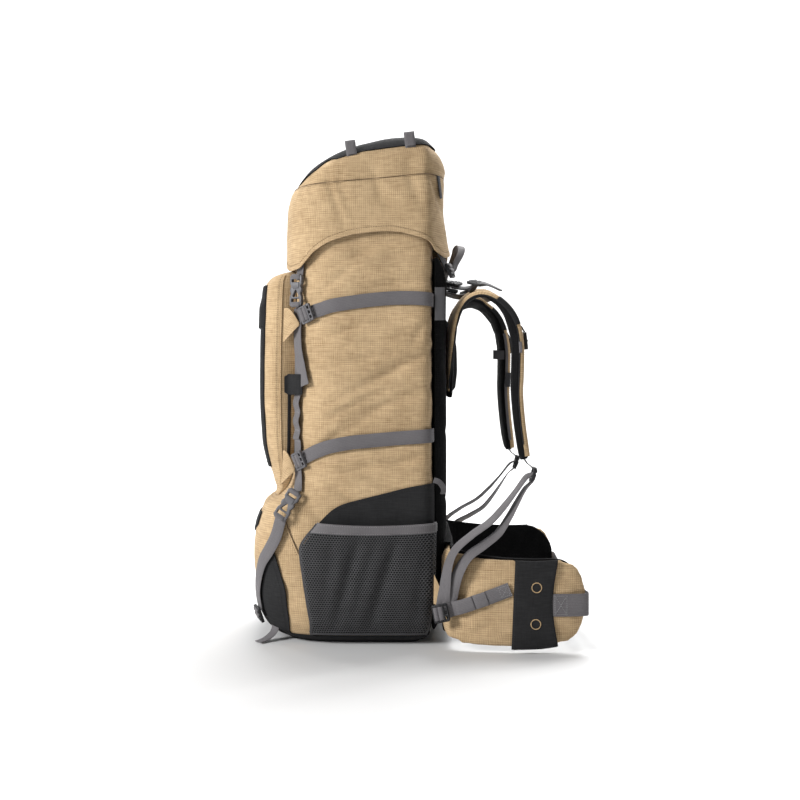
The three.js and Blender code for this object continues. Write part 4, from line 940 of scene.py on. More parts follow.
# The bag and what is sewn to it
def bag():
    """The tan body: a wall of cloth with creases and unevenness in it, and a closed floor."""
    angles, run = round_bag(160)
    levels = stepped((2.6, 30, 12), (30, 185, 40), (185, 262, 32), (262, 652, 98))
    degrees = angles[:-1][None]
    smooth_face = bag_point(degrees, levels[:, None])
    x = smooth_face[..., 0]
    side = smooth(np.abs(smooth_face[..., 1]), 95, 135)
    dents = 1.8 * fold_sum(CREASES, x, levels[:, None]) * side
    slanted = smooth_face * (1, 0.4, 2.4) + np.stack([0 * x, 0 * x, 0.5 * x], -1)
    soft = 0.3 + 0.7 * side
    dents = dents + soft * (4.5 * rumple(slanted, 60, 3.1) + 2.2 * rumple(slanted, 26, 7.7) - 1.5)
    near_top = smooth(levels, 40, 90)[:, None]
    outer = bag_point(degrees, levels[:, None], -dents * near_top)
    inner = bag_point(degrees, levels[:, None], -dents * near_top - CLOTH)
    inner[:, :, 2] = np.maximum(inner[:, :, 2], levels[0] + CLOTH)
    middle = np.array([BAG_AXIS, 0, 0])

    def floored(grid):
        rings = [middle + (grid[0] - middle) * (s, s, 1) for s in (0.05, 0.4, 0.75, 0.95)]
        return np.concatenate([np.stack(rings), grid])

    v = np.concatenate([np.linspace(-120, -6, 4), levels])
    make("bag_shell", [shell(floored(outer), floored(inner), run, v, True, (0,))], TAN, ["bag"])


def base():
    """The black cup under the bag, with its row of stitches."""
    angles, run = round_bag(160)
    degrees = angles[:-1]
    # The cup's outside and inside: height on the bag, own height, and distance from the bag
    profile = [
        (2.6, 0, -7), (2.6, 0, 0.2), (2.6, 0.8, 1.6), (2.6, 2.2, 2.5), (5, 5, 2.8), (8, 8, 2.6),
        (11, 11, 2.5), (13, 13, 2.2), (13, 13.4, 1.4),
    ]
    lining = [
        (2.6, 2.3, -7), (2.6, 2.3, 0.2), (2.6, 2.4, 0.3), (2.6, 2.6, 0.4), (5, 5, 0.4), (8, 8, 0.4),
        (11, 11, 0.4), (13, 13, 0.4), (13, 13.2, 0.6),
    ]

    def rings(rows):
        grid = np.stack([bag_point(degrees, float(z), height) for z, _, height in rows])
        grid[:, :, 2] = np.array([level for _, level, _ in rows])[:, None]
        return grid

    v = run_of(np.array([(h, z) for _, z, h in profile], float))
    make("base_cup", [shell(rings(profile), rings(lining), run, v, True, (0,))], BLACK, ["base"])
    turn, hem_z = np.linspace(0, 360, 400), 10.6
    make("base_stitches", [stitches(bag_point(turn, hem_z, 2.5), bag_out(turn, hem_z))], BLACK_THREAD)


def skin(point, degrees, z, t, lift):
    """Cloth laid on the bag, where t runs from 0 at its lower edge to 1 at its upper one."""
    outer = point(degrees, z, lift + WEB * soft_edge(t))
    return shell(outer, point(degrees, z, lift), cloth_length(degrees), z)


def boot():
    """The black cloth round the bag's front foot, as the wearer's left half and its mirror image."""
    u = np.linspace(0, 1, 50)
    side = BOOT_TOP.data[0, 0]
    top_angle = side + (180 - side) * u
    low = BASE_LIP + 0.8
    v = np.linspace(0, 1, 44)[:, None]
    z = low + (BOOT_TOP("z", top_angle) - low) * v
    angle = top_angle + (BOOT_SIDE("angle", z) - side) * (1 - u)
    angle = np.concatenate([angle, 360 - angle[:, -2::-1]], axis=1)
    z = np.concatenate([z, z[:, -2::-1]], axis=1)
    make("boot", [skin(bag_point, angle, z, v, GAP + 0.5)], BLACK, ["front_boot"])
    rim = [np.concatenate([g[:, 0], g[-1, 1:-1], g[::-1, -1]]) for g in (angle, z)]
    make("boot_piping", [rod(evenly(bag_point(*rim, GAP + 1.0), 3), 1.1)], BLACK)
    rows = []
    for k in (2, -3):
        edge = angle[:, k], z[:, k]
        rows.append(stitches(bag_point(*edge, GAP + 0.6 + WEB), bag_out(*edge)))
    make("boot_stitches", rows, BLACK_THREAD)


def front_cloth():
    """The black boot, the seam beside it, and the black flap on the front."""
    boot()
    seam_angle, seam_z = np.linspace(128, 120.6, 40), np.linspace(184, 134, 40)
    seam = [rod(right_point(seam_angle, seam_z, -0.3), 0.7)]
    seam.append(stitches(right_point(seam_angle + 1.2, seam_z, 0.2), right_out(seam_angle, seam_z)))
    pair("side_seam", seam, DARK_THREAD)
    degrees = np.linspace(150, 210, 60)
    t = np.linspace(0, 1, 24)[:, None]
    low, high = 150 + 20 * ((degrees - 180) / 30) ** 2, 189
    make("flap", [skin(bag_point, degrees, low + (high - low) * t, t, GAP + 0.2)], BLACK, ["lower_flap"])
    line = bag_point(degrees, low + 4, GAP + 0.3 + WEB)
    make("flap_stitches", [stitches(line, bag_out(degrees, low + 4))], BLACK_THREAD)


def side_panels():
    """The black cloth behind each mesh pocket."""
    u = np.linspace(0, 1, 90)
    top_angle = 52 + 67 * u
    low = BASE_LIP + 0.8
    v = np.linspace(0, 1, 44)[:, None]
    z = low + (SIDE_PANEL_EDGE("z", top_angle) - low) * v
    front = np.where(z < 142, MESH_FRONT("angle", z), 119.6)
    degrees = top_angle + (front - 119) * u**6
    pair("panel", [skin(right_point, degrees, z, v, GAP + 0.2)], BLACK, ["side_panel"])
    line = right_point(degrees[-1], z[-1] - 4, GAP + 0.3 + WEB)
    pair("panel_stitches", [stitches(line, right_out(degrees[-1], z[-1] - 4))], BLACK_THREAD)


def net(low, high):
    """A net of six-sided holes: points by cloth length and height, their angles, and faces."""
    pitch, row = 3.88, 3.17
    fine = np.linspace(MESH_BACK_ANGLE, 121, 400)
    run = run_of(right_point(fine, 100.0))
    cell = [(0, 2 / 3), (0.5, 1 / 3), (0.5, -1 / 3), (0, -2 / 3), (-0.5, -1 / 3), (-0.5, 1 / 3)]
    rim = np.array(cell) * (pitch, row)
    middles = []
    for j in range(int((high - low) / row)):
        z = low + row * 0.7 + j * row
        start = pitch * (0.55 + 0.5 * (j % 2))
        end = np.interp(MESH_FRONT("angle", z), fine, run)
        middles += [(a, z) for a in np.arange(start, end - pitch * 0.1, pitch)]
    middles = np.array(middles)
    outer = (middles[:, None] + rim).reshape(-1, 2)
    inner = (middles[:, None] + rim * (0.77, 0.74)).reshape(-1, 2)
    keys = np.round(outer * 50).astype(int)
    _, first, back = np.unique(keys, axis=0, return_index=True, return_inverse=True)
    flat = np.concatenate([outer[first], inner])
    outside = back.reshape(-1, 6)
    inside = len(first) + np.arange(len(inner)).reshape(-1, 6)
    faces = np.stack([outside, np.roll(outside, -1, 1), np.roll(inside, -1, 1), inside], -1).reshape(-1, 4)
    return flat, np.interp(flat[:, 0], run, fine), faces


def mesh_pockets():
    """Each side pocket's net, hem tape, stitches and edge binding."""
    low, high = BASE_LIP + 1.5, MESH_TOP - HEM_TAPE + 3
    flat, degrees, faces = net(low, high)
    points = mesh_point(degrees, flat[:, 1], 0.5)
    for piece in pair("mesh", [(points, [(faces, flat[faces])])], NET, ["mesh_pocket"]):
        wall = piece.modifiers.new("thickness", "SOLIDIFY")
        wall.thickness, wall.offset = 0.7 * MM, 0
    t = np.linspace(0, 1, 90)
    z = np.linspace(MESH_TOP - HEM_TAPE, MESH_TOP, 9)[:, None] + 0 * t
    degrees = MESH_BACK_ANGLE + (MESH_FRONT("angle", z) - MESH_BACK_ANGLE) * t
    edge = np.array([0.4, 1, 1, 1, 1, 1, 1, 1, 0.4])[:, None]
    outer = mesh_point(degrees, z, 0.2 + 1.6 * edge)
    tape = shell(outer, mesh_point(degrees, z, -0.6), cloth_length(degrees), z)
    pair("mesh_hem", [tape], GREY)
    rows = []
    for k in (1, 7):
        line = mesh_point(degrees[k], z[k], 1.8)
        rows.append(stitches(line, right_out(degrees[k], z[k]), 3.2, 2.2, 0.6, 0.35))
    pair("mesh_hem_stitches", rows, GREY_THREAD)
    z = np.linspace(low, MESH_TOP - 2, 120)
    binding = []
    for degrees in (MESH_FRONT("angle", z) - 0.5, MESH_BACK_ANGLE + 0 * z):
        across = right_point(degrees + 1, z) - right_point(degrees - 1, z)
        binding.append(strap(*evenly(mesh_point(degrees, z, 0.4), 2.5, across), 4.5, 1.6))
    degrees = np.linspace(MESH_BACK_ANGLE, 119, 120)
    binding.append(strap(mesh_point(degrees, low + 2.5 + 0 * degrees, 0.4), UP, 3, 1.6))
    pair("mesh_binding", binding, DARK_WEB)


def front_pocket():
    """The tan front pocket with its piping, stitches and zips."""
    across = crowded(96, POCKET_POWER)
    low, high = POCKET.data[[0, -1], 0]
    z = (low + (high - low) * (crowded(80, 2.6) + 1) / 2)[:, None]
    plain = pocket_point(across, z)
    side = np.maximum(1 - np.abs(across) ** POCKET_POWER, 0) ** (1 / POCKET_POWER)
    dents = side * (2.2 * rumple(plain * (1, 1, 1.6), 55, 11.3) + 1.2 * rumple(plain, 22, 5.9))
    depth = np.linalg.norm(plain - bag_point(180 + POCKET("span", z) * across, z, GAP), axis=-1)
    outer = pocket_point(across, z, -dents)
    inner = pocket_point(across, z, -np.minimum(dents + CLOTH, np.maximum(depth - 0.1, 0)))
    make("pocket", [shell(outer, inner, run_of(plain[40]), run_of(plain[:, 48]))], TAN, ["front_pocket"])
    heights = stepped((232, 300, 30), (303, 520, 70), (521, 543, 20))
    piping, rows = [], []
    for sign in (-1, 1):
        piping.append(rod(evenly(pocket_point(sign * 0.992 + 0 * heights, heights, -0.3), 2.5), 1.2))
        line = pocket_point(sign * 0.978 + 0 * heights, heights, 0.1)
        rows.append(stitches(line, (line - (BAG_AXIS - 60, 0, 0)) * (1, 1, 0)))
    make("pocket_piping", piping, TAN)
    make("pocket_stitches", rows, DARK_THREAD)
    heights = np.linspace(272, 388, 80)
    tape, teeth = [], []
    for sign in (-1, 1):
        degrees = 180 + sign * (POCKET("span", heights) + 0.5)
        line = bag_point(degrees, heights, 9)
        away = unit(bag_point(degrees + sign, heights) - bag_point(degrees - sign, heights))
        tape.append(strap(line, bag_out(degrees, heights), 5, 1.4))
        teeth.append(stitches(line + away * 0.9, away, 2.2, 1.5, 2.6, 0.8))
    make("pocket_zip_tape", tape, BLACK)
    make("pocket_zip_teeth", teeth, DARK_PLASTIC)


def front_panel():
    """The black panel on the front pocket."""
    reach = 0.8
    across = np.linspace(-reach, reach, 54)
    z = stepped((256, 464, 70), (465.5, 469, 4), (471, 530, 34))[:, None]
    upper = 3.2 * smooth(z, 465, 467) * (1 - smooth(z, 495, 516))
    edge = np.minimum((1 - np.abs(across / reach)) * 16, 1) ** 0.5
    plain = pocket_point(across, z)
    puff = (1.5 + upper) * edge - 0.9 * rumple(plain, 40, 2.2)
    outer = pocket_point(across, z, 0.6 + np.maximum(puff, 0.3))
    inner = pocket_point(across, z, -1.2 + 0 * puff)
    make("pocket_panel", [shell(outer, inner, run_of(plain[40]), z)], BLACK, ["front_panel"])
    lines = [pocket_point(side + 0 * z[:, 0], z[:, 0], 1.6) for side in (-0.77, 0.77)]
    across = across[3:-3]
    lines += [pocket_point(across, height + 0 * across, lift) for height, lift in ((471, 4.6), (262, 1.8))]
    make("pocket_panel_stitches", [stitches(line, (-1.0, 0, 0)) for line in lines], BLACK_THREAD)


# The lid
def lid():
    """The tan lid with its hem, gathered seam and dome, stitches, seam piping whose dark colour also paints
    the seam's shade line, and corner webbing.
    """
    angles, run = round_bag(192)
    degrees = angles[:-1]
    hem = LID_HEM("z", from_back(degrees))
    seam = LID_SEAM("z", lid_point(degrees, 1.0)[:, 0])
    near = stepped((0, 12, 11), (14, 24, 5))
    rows = [d / (seam - hem) for d in near]
    rows += [(near[-1] + (seam - hem - near[-1]) * t) / (seam - hem) for t in np.linspace(0, 1, 46)[1:]]
    shares = stepped((0.06, 0.78, 16), (0.8, 0.965, 18), (0.97, 0.9995, 16))[::-1]
    rows += [0 * degrees + dome_level(s) for s in shares]
    level = np.stack(rows)
    plain = lid_point(degrees, level)
    above = plain[..., 2] - hem
    below = seam - plain[..., 2]
    height = 0.7 * (1 - smooth(above, 6.2, 7.4)) - 0.6 * bell(above - 7.6, 0.9)
    skirt = level <= 1
    height = np.where(skirt, height - 2.2 * bell(below, 4), 1.6 * bell(below, 16))
    x = plain[..., 0]
    for place, wide, depth, long in LID_GATHERS:
        gather = depth * bell(x - place - 0.36 * below, wide) * bell(below - 6, long)
        crown = 0.5 * depth * bell(x - place - 3, wide * 1.6) * bell(below, long)
        height = height - np.where(skirt, gather, crown)
    lumps = 2.6 * rumple(plain * (1, 0.6, 1.3), 58, 4.4) + 1.1 * rumple(plain, 24, 9.2)
    height = height - (lumps - 1.0) * smooth(above, 8, 26)
    outer = lid_point(degrees, level, height)
    inner = lid_point(degrees, level, height - CLOTH)
    first = int(np.argmax(level[:, 0] > 1)) - 1
    climb = np.cumsum(np.linalg.norm(np.diff(plain[first:], axis=0), axis=2), axis=0)
    v = np.concatenate([plain[: first + 1, :, 2], plain[first, :, 2] + climb])
    v = np.column_stack([v, v[:, 0]])
    make("lid_cloth", [shell(outer, inner, run, v, True, (len(level) - 1,))], TAN, ["lid"])
    around = np.linspace(0, 360, 720)
    edge = LID_HEM("z", from_back(around))
    top = LID_SEAM("z", lid_point(around, 1.0)[:, 0])
    out = level_out(lambda a: section_radius(LID, 600.0, a), np.radians(around))
    line = lid_point(around, 7.6 / (top - edge), 0.2)
    make("lid_hem_stitches", [stitches(line, out)], DARK_THREAD)
    # Piping sunk in the seam's groove, in dark thread colour: it is real piping, and its darkness is also
    # painted shade for the shadow line under the overhanging cloth.
    line = lid_point(around, 1 - 1.6 / (top - edge), -1.6)
    make("lid_seam_piping_and_painted_shade", [loop_rod(evenly(line, 3)[:-1], 0.5)], DARK_THREAD)
    tabs = []
    for sign in (-1, 1):
        corner = np.array([120.5, 124.5, 129.5]) * sign
        hem_at = LID_HEM("z", np.abs(corner))
        out = bag_point(corner, hem_at, 1) - bag_point(corner, hem_at, 0)
        tabs.append(stitches(bag_point(corner, hem_at + 14, 8.5), out))
    make("lid_tab_stitches", tabs, DARK_THREAD)
    share = np.linspace(0.98, 0.71, 14)
    angle = np.radians(np.linspace(47, 44.5, 14))
    line = lid_point(-np.degrees(angle), share, 1.0)
    out = level_out(lambda a: section_radius(LID, 670.0, a), -angle)
    pair("lid_corner_web", [strap(line, np.cross(out, UP), 9)], DARK_WEB)


def lid_top():
    """The lid's black top and its gear loops."""
    angles, run = round_bag(160)
    degrees = angles[:-1]
    share = LID_TOP_EDGE("share", from_back(degrees))
    t = stepped((0, 0.12, 14), (0.14, 1, 30))[:, None]
    shares = share * (1 - t) + 0.05 * t
    plain = lid_point(degrees, dome_level(shares))
    puff = 1.2 + 2.4 * smooth(t, 0, 0.1) - 1.6 * rumple(plain, 46, 6.6) * smooth(t, 0, 0.1)
    outer = lid_point(degrees, dome_level(shares), puff)
    inner = lid_point(degrees, dome_level(shares), -0.6 + 0 * puff)
    v = run_of(plain[:, 40])
    make("lid_top_cloth", [shell(outer, inner, run, v, True, (len(t) - 1,))], BLACK, ["lid_top"])
    edge = np.vstack([outer[2], outer[2, :1]])
    make("lid_top_stitches", [stitches(edge, UP)], BLACK_THREAD)
    ring = lid_point(np.linspace(60, 130, 300), dome_level(0.955))
    path = np.array([
        (0, -2.6, 0), (0, -2.7, 6), (0, -2.7, 17), (0, -1, 20), (0, 0.2, 17), (0, 0.2, 6), (0, 0.2, -2),
    ])
    loops = []
    for x, lean in ((-93.5, -0.14), (-7.7, -0.12)):
        at = ring[np.argmin(np.abs(ring[:, 0] - x))] * TO_LEFT
        line = spline(path + at, np.linspace(0, 1, 50))
        line[:, 0] += lean * (line[:, 2] - at[2])
        loops.append(strap(line, (1.0, 0, -lean), 15.5))
    pair("gear_loop", loops, GREY)


# Webbing and buckles
def free_strap(rows, width, step=2.5, thick=WEB):
    """Webbing through rows of a place and the way its width points."""
    rows = np.array(rows, float)
    at = np.linspace(0, 1, 400)
    line, across = evenly(spline(rows[:, :3], at), step, spline(rows[:, 3:], at))
    return strap(line, across, width, thick)


def laid(rows, width, lift, wave=None):
    """Webbing laid on the bag through rows of angle and height."""
    degrees, z = spline(rows, np.linspace(0, 1, 300)).T
    line = right_point(degrees, z, lift + (wave(z) if wave else 0 * z))
    across = unit(np.cross(np.gradient(right_point(degrees, z, lift), axis=0), right_out(degrees, z)))
    return strap(*evenly(line, 2.5, across), width)


def daisy(z):
    """How far the side strap stands off between its tacks."""
    t = (DAISY["high"] - z) / (DAISY["high"] - DAISY["low"])
    wave = DAISY["depth"] * (1 - np.cos(2 * math.pi * DAISY["waves"] * t)) / 2
    return np.where((t > 0) & (t < 1), wave, 0)


def tack(place, across, out, long):
    """A bar tack: three close rows of thread across upright webbing."""
    span = np.outer(np.linspace(-long / 2, long / 2, 8), across)
    return [stitches(place + UP * shift + span, out, 2.4, 2.3, 0.7, 0.35) for shift in (-0.9, 0, 0.9)]


def box_stitch(place, along, across, out, long, wide):
    """A sewn box with a cross in it."""
    ends = [(-1, -1), (1, -1), (1, 1), (-1, 1)]
    corner = [place + along * a * long / 2 + across * b * wide / 2 for a, b in ends]
    sides = [(0, 1), (1, 2), (2, 3), (3, 0), (0, 2), (1, 3)]
    return [stitches(np.linspace(corner[i], corner[j], 12), out, 2.6, 2.2, 1.0, 0.5) for i, j in sides]


def bar(x, wide, high, z):
    """A round bar across a buckle."""
    turn = np.linspace(0, 2 * math.pi, 14, endpoint=False)
    x, z = x + high * 0.55 * np.cos(turn), z + high * 0.5 * np.sin(turn)
    rings = [np.stack([x, np.full(14, y), z], -1) for y in (-wide / 2, wide / 2)]
    return tube(np.stack(rings), np.zeros(15), np.zeros(2))


def ladder_lock():
    """A lock that a strap threads through: a frame with three small windows, and two bars."""
    windows = [rounded(6.1, y - 2.1, 9.4, y + 2.1, 0.6, 2) for y in (-7.2, 0, 7.2)]
    holes = [rounded(-8.8, -10, 3.6, 10, 1.2), *windows]
    frame_plate = plate(rounded(-11.5, -13, 11.5, 13, 2.5), holes, 4.5)
    return [frame_plate, bar(-6.3, 22, 3.6, 3.4), bar(0.6, 22, 3.8, 3.7), bar(5.0, 24, 2.6, 4.2)]


def lock_web():
    """The turns of webbing over a ladder lock's bars."""
    width, turn = 19, np.linspace(math.radians(-35), math.radians(215), 24)
    loops = []
    for x, reach in ((-6.3, 3.1), (0.6, 3.2)):
        line = np.stack([x + reach * np.cos(turn), 0 * turn, 3.6 + reach * 0.72 * np.sin(turn)], -1)
        loops.append(strap(line, SIDEWAYS, width, 1.2))
    return loops


def clasp(length=46, width=21.5):
    """A side-release buckle: a frame with a slot at each end, a window and two sprung sides."""
    l, w = length / 2, width / 2
    waist, k = w * 0.8, length / 46
    rim = [
        (-l, -w + 2), (-l + 2, -w), (-10 * k, -w), (-7 * k, -waist),
        (5 * k, -waist), (9 * k, -w), (l - 2, -w), (l, -w + 2),
    ]
    window = [(-k, -0.8), (8 * k, -5.4 * k), (9.4 * k, -4 * k)]
    rim, window = [half + [(x, -y) for x, y in half[::-1]] for half in (rim, window)]
    slots = [rounded(x0, -w + 3.4, x1, w - 3.4, 1) for x0, x1 in ((-l + 3.2, -l + 10.5), (l - 11, l - 3.2))]
    parts = [plate(rim, [*slots, window], 6)]
    parts.append(plate(rounded(-12 * k, -6.5 * k, -3 * k, 6.5 * k, 2), [], 1.6, 5.4, 0.5))
    turn = np.linspace(-math.pi / 2, math.pi / 2, 9)
    for sign in (-1, 1):
        press = [(-k + 5 * k * math.sin(a), sign * (waist - 1.6 + 3.6 * math.cos(a))) for a in turn]
        parts.append(plate(press, [], 5, 0.9, 0.8))
    return [*parts, bar(l - 1.7, width - 5, 3.4, 4.4), bar(-l + 1.7, width - 5, 3.4, 4.4)]


def clasp_web():
    """Webbing folded round the two end bars of a side-release buckle."""
    width, half, turn = 15.5, 23, np.linspace(math.radians(-100), math.radians(130), 20)
    folds = []
    for end in (-1, 1):
        x = end * (half - 1.7) + end * 2.6 * np.cos(turn)
        fold = np.stack([x, 0 * turn, 4.4 + 2.6 * np.sin(turn)], -1)
        lead = (end * (half - 6), 0, 5.4)
        folds.append(strap(evenly(np.vstack([fold, lead]), 1.0), SIDEWAYS, width, 1.3))
    return folds


LOCK, CLASP = (ladder_lock, lock_web), (clasp, clasp_web)


def fitting(name, kind, place, seat, colours, nodes=()):
    """A lock or clasp and the webbing in it, placed in a seat on the bag or on a free strap."""
    body, web = kind
    pair(name, place(body(), *seat), colours[0], nodes)
    pair(f"{name}_web", place(web(), *seat), colours[1])


def on_bag(parts, degrees, z, height, turn_degrees, turn_z, facing=None):
    """Parts seated on the bag along a chord through an angle and height, facing out at an angle."""
    ahead = right_point(degrees + turn_degrees, z + turn_z)
    behind = right_point(degrees - turn_degrees, z - turn_z)
    along = ahead - behind
    out = right_out(facing or degrees, z)
    out = unit(out - along * np.dot(out, along) / np.dot(along, along))
    middle = (ahead + behind) / 2
    lift = max(float(np.dot(right_point(degrees, z) - middle, out)), 0)
    return seated(parts, middle + out * (height + lift), along, out)


def compression_straps():
    """The straps across the bag's sides, and the locks at their front ends."""
    sides = [("upper", UPPER_STRAP, (119.4, 484.5), 110), ("lower", LOWER_STRAP, (123.6, 271), 107)]
    for name, rows, place, facing in sides:
        web = laid(rows, WEB_WIDTH, LAID + 0.4)
        pair(f"squeeze_strap_{name}", [web], GREY, [f"compression_strap_{name}"])
        seat = (*place, ON_WEB + 2.4, 4, -4, facing)
        lock, web = [on_bag(mirrored(parts, TURNED), *seat) for parts in (ladder_lock(), lock_web())]
        pair(f"squeeze_lock_{name}", lock, PLASTIC, [f"compression_lock_{name}"])
        pair(f"squeeze_lock_web_{name}", web, GREY)


def strap_tabs():
    """Cloth tabs from the front pocket's sides to the compression locks."""
    for name, top, low, tip in (("upper", 493, 443, (122.6, 469)), ("lower", 283, 232, (125.5, 255))):
        u = np.linspace(0, 1, 24)
        v = np.linspace(0, 1, 26)[:, None]
        root = right_point(np.full(26, 132.6), low + (top - low) * v[:, 0], 18)[:, None]
        apex = right_point(*tip, 7.0)
        across = u[:, None] * 0.93
        bow = (np.sin(math.pi * u) * (v * 9 - 1))[..., None] * (0, 0, 1.0)
        puff = np.sin(math.pi * u)[:, None] * np.array([-1.0, -2.6, 0])
        outer = root + (apex - root) * across + bow + puff
        flat = np.stack([26 * u + 0 * v, (top - low) * v + 0 * u], -1)
        turned = (flat[..., 0] + flat[..., 1]) * 0.707, (flat[..., 1] - flat[..., 0]) * 0.707
        out = unit(np.array([-0.6, -0.8, 0]))
        pair(f"tab_{name}", [shell(outer + out * WEB, outer, *turned)], TAN, [f"strap_tab_{name}"])
        rows = [stitches(outer[k] + out * WEB, out) for k in (2, -3)]
        pair(f"tab_stitches_{name}", rows, TAN_THREAD)


def side_straps():
    """The strap down each front corner: loops, keeper, two clasps, and the lock at its foot."""
    pair("hood_strap", [laid(LID_STRAP, 20, LAID + 0.6)], GREY, ["lid_strap"])
    pair("upright_strap", [laid(SIDE_STRAP, 20, LAID + 0.8, daisy)], GREY, ["side_strap"])
    pair("upright_tail", [laid(SIDE_TAIL, 22, LAID + 3.4)], GREY)
    high, wave = DAISY["high"], (DAISY["high"] - DAISY["low"]) / DAISY["waves"]
    tacks = []
    for z in (high, high - wave, high - 2 * wave, 298):
        out = right_out(SIDE_STRAP_ANGLE, z)
        place = right_point(SIDE_STRAP_ANGLE, z, LAID + 0.8 + WEB / 2)
        tacks += tack(place, unit(np.cross(out, UP)), out, 14)
    pair("upright_tacks", tacks, GREY_THREAD)
    at = np.linspace(0, 1, 60)
    degrees, lift = spline(KEEPER, at).T
    width = np.interp(at, (0, 0.75, 1), (30, 31, 23))[:, None]
    line, width = evenly(right_point(degrees, 380.5, lift), 1.2, width)
    pair("strap_keeper", [strap(line, UP, width[:, 0], 2.4)], BLACK)
    seat = (SIDE_STRAP_ANGLE, 518, ON_WEB + 4.2, 0, -20, 116)
    fitting("hood_buckle", CLASP, on_bag, seat, (PLASTIC, GREY), ["lid_buckle"])
    seat = (126.8, 204, ON_WEB + 4.5, 2.85, -18.5, 119)
    fitting("lower_clasp", CLASP, on_bag, seat, (PLASTIC, GREY), ["lower_buckle"])
    strips = [laid(BASE_STRAP, WEB_WIDTH, LAID + 4.3), free_strap(BASE_TAIL, 16)]
    pair("lower_strap", strips, GREY, ["base_strap"])
    seat = (147.6, 41, ON_WEB + 4.6, 0.3, -11)
    fitting("lower_lock", LOCK, on_bag, seat, (DARK_PLASTIC, GREY), ["base_lock"])


# Padding
def round_section(line, across, width, face, thick, power, sides):
    """Rings of a boxy round section along a line."""
    turn = (2 * math.pi * (np.arange(sides) + 0.5) / sides)[:, None]
    width, thick = [np.broadcast_to(size, len(line))[:, None, None] for size in (width, thick)]
    across, face = [np.broadcast_to(way, line.shape)[:, None] for way in (across, face)]
    wide = across * (powered(np.cos(turn), 2 / power) * width / 2)
    return line[:, None] + wide + face * (powered(np.sin(turn), 2 / power) * thick / 2)


def shoulder_frame(count):
    """Along a shoulder strap: share, middle, ways across and to the inner face, width, thickness."""
    t = np.linspace(0, 1, count)
    line = spline(SHOULDER[:, :3], t)
    along = unit(np.gradient(line, axis=0))
    across = unit(SIDEWAYS - along * along[:, 1:2])
    across = unit(across - np.cross(across, along) * STRAP_LEAN("lean", t)[:, None])
    face = np.cross(across, along)
    width = Rows("t width", *zip(np.linspace(0, 1, len(SHOULDER)), SHOULDER[:, 3]))("width", t)
    return t, line, across, face, width, STRAP_DEPTH("thick", t)


def belt_frame(t):
    """The hip belt's middle line in plan, its way out, its lower and upper edge, and its thickness."""
    plan = np.column_stack([BELT[:, :2], np.zeros(len(BELT))])
    step = 1e-3
    along = unit(spline(plan, t + step) - spline(plan, t - step))
    out = np.stack([along[:, 1], -along[:, 0], 0 * t], -1)
    rows = np.linspace(0, 1, len(BELT))
    low, high = [Rows("t z", *zip(rows, BELT[:, k]))("z", t) for k in (2, 3)]
    return spline(plan, t), out, low, high, BELT_THICK * np.minimum(1, 0.45 + 9 * (1 - t))


def belt_point(t, z, height=0.0, face=1):
    """A point over the belt's outer face, or its inner one where face is -1."""
    t, z, height = np.broadcast_arrays(np.asarray(t, float), z, height)
    line, out, low, high, thick = belt_frame(t.ravel())
    level = np.minimum(np.abs((2 * z.ravel() - low - high) / (high - low)), 1)
    bulge = thick / 2 * (1 - level**6) ** (1 / 6) + height.ravel()
    points = line + out * (face * bulge)[:, None]
    points[:, 2] = z.ravel()
    return points.reshape(*t.shape, 3)


def remeshed(piece, voxel):
    """Gives a piece an even mesh with cells of a size in mm."""
    grid = piece.modifiers.new("remesh", "REMESH")
    grid.mode, grid.voxel_size = "VOXEL", voxel * MM
    mesh = bpy.data.meshes.new_from_object(piece.evaluated_get(bpy.context.evaluated_depsgraph_get()))
    piece.modifiers.clear()
    piece.data = mesh


def coordinates(mesh):
    points = np.zeros(len(mesh.vertices) * 3, np.float32)
    mesh.vertices.foreach_get("co", points)
    return points.reshape(-1, 3).astype(float)


def swell(pads, steps=20, pressure=4.0):
    """Padded pieces blown up together as sewn cloth; each is (piece, voxel, cap, which points stay)."""
    starts = []
    for piece, voxel, _, stays in pads:
        remeshed(piece, voxel)
        start = coordinates(piece.data)
        starts.append(start)
        group = piece.vertex_groups.new(name="sewn")
        group.add(np.flatnonzero(stays(start / MM)).tolist(), 1.0, "REPLACE")
        cloth = piece.modifiers.new("cloth", "CLOTH")
        cloth.settings.use_pressure = True
        cloth.settings.uniform_pressure_force = pressure
        cloth.settings.vertex_group_mass = "sewn"
        cloth.settings.effector_weights.gravity = 0
        cloth.settings.quality = 5
        cloth.collision_settings.use_collision = False
    scene = bpy.context.scene
    for step in range(1, steps + 1):
        scene.frame_set(step)
    for (piece, _, cap, _), start in zip(pads, starts):
        moved = coordinates(piece.evaluated_get(bpy.context.evaluated_depsgraph_get()).data) - start
        length = np.linalg.norm(moved, axis=1, keepdims=True)
        moved *= np.minimum(1, cap * MM / np.maximum(length, 1e-9))
        piece.modifiers.clear()
        piece.vertex_groups.clear()
        piece.data.vertices.foreach_set("co", (start + moved).astype(np.float32).ravel())
        piece.data.polygons.foreach_set("use_smooth", np.ones(len(piece.data.polygons), bool))
        finer = piece.modifiers.new("finer", "SUBSURF")
        finer.levels = finer.render_levels = 1
        piece.data.update()
    scene.frame_set(1)


def pressed(piece, depth_at):
    """Sewn lines and dents pressed into a padded piece after it has swollen."""
    points = coordinates(piece.data)
    normals = np.array([v.normal for v in piece.data.vertices])
    points -= normals * depth_at(points / MM)[:, None] * MM
    piece.data.vertices.foreach_set("co", points.astype(np.float32).ravel())
    piece.data.update()


def nearest(points, line):
    """For each point the number of a line's point that is nearest to it."""
    found = []
    for block in np.array_split(points, 40):
        found.append(np.argmin(np.linalg.norm(block[:, None] - line[None], axis=2), axis=1))
    return np.concatenate(found)


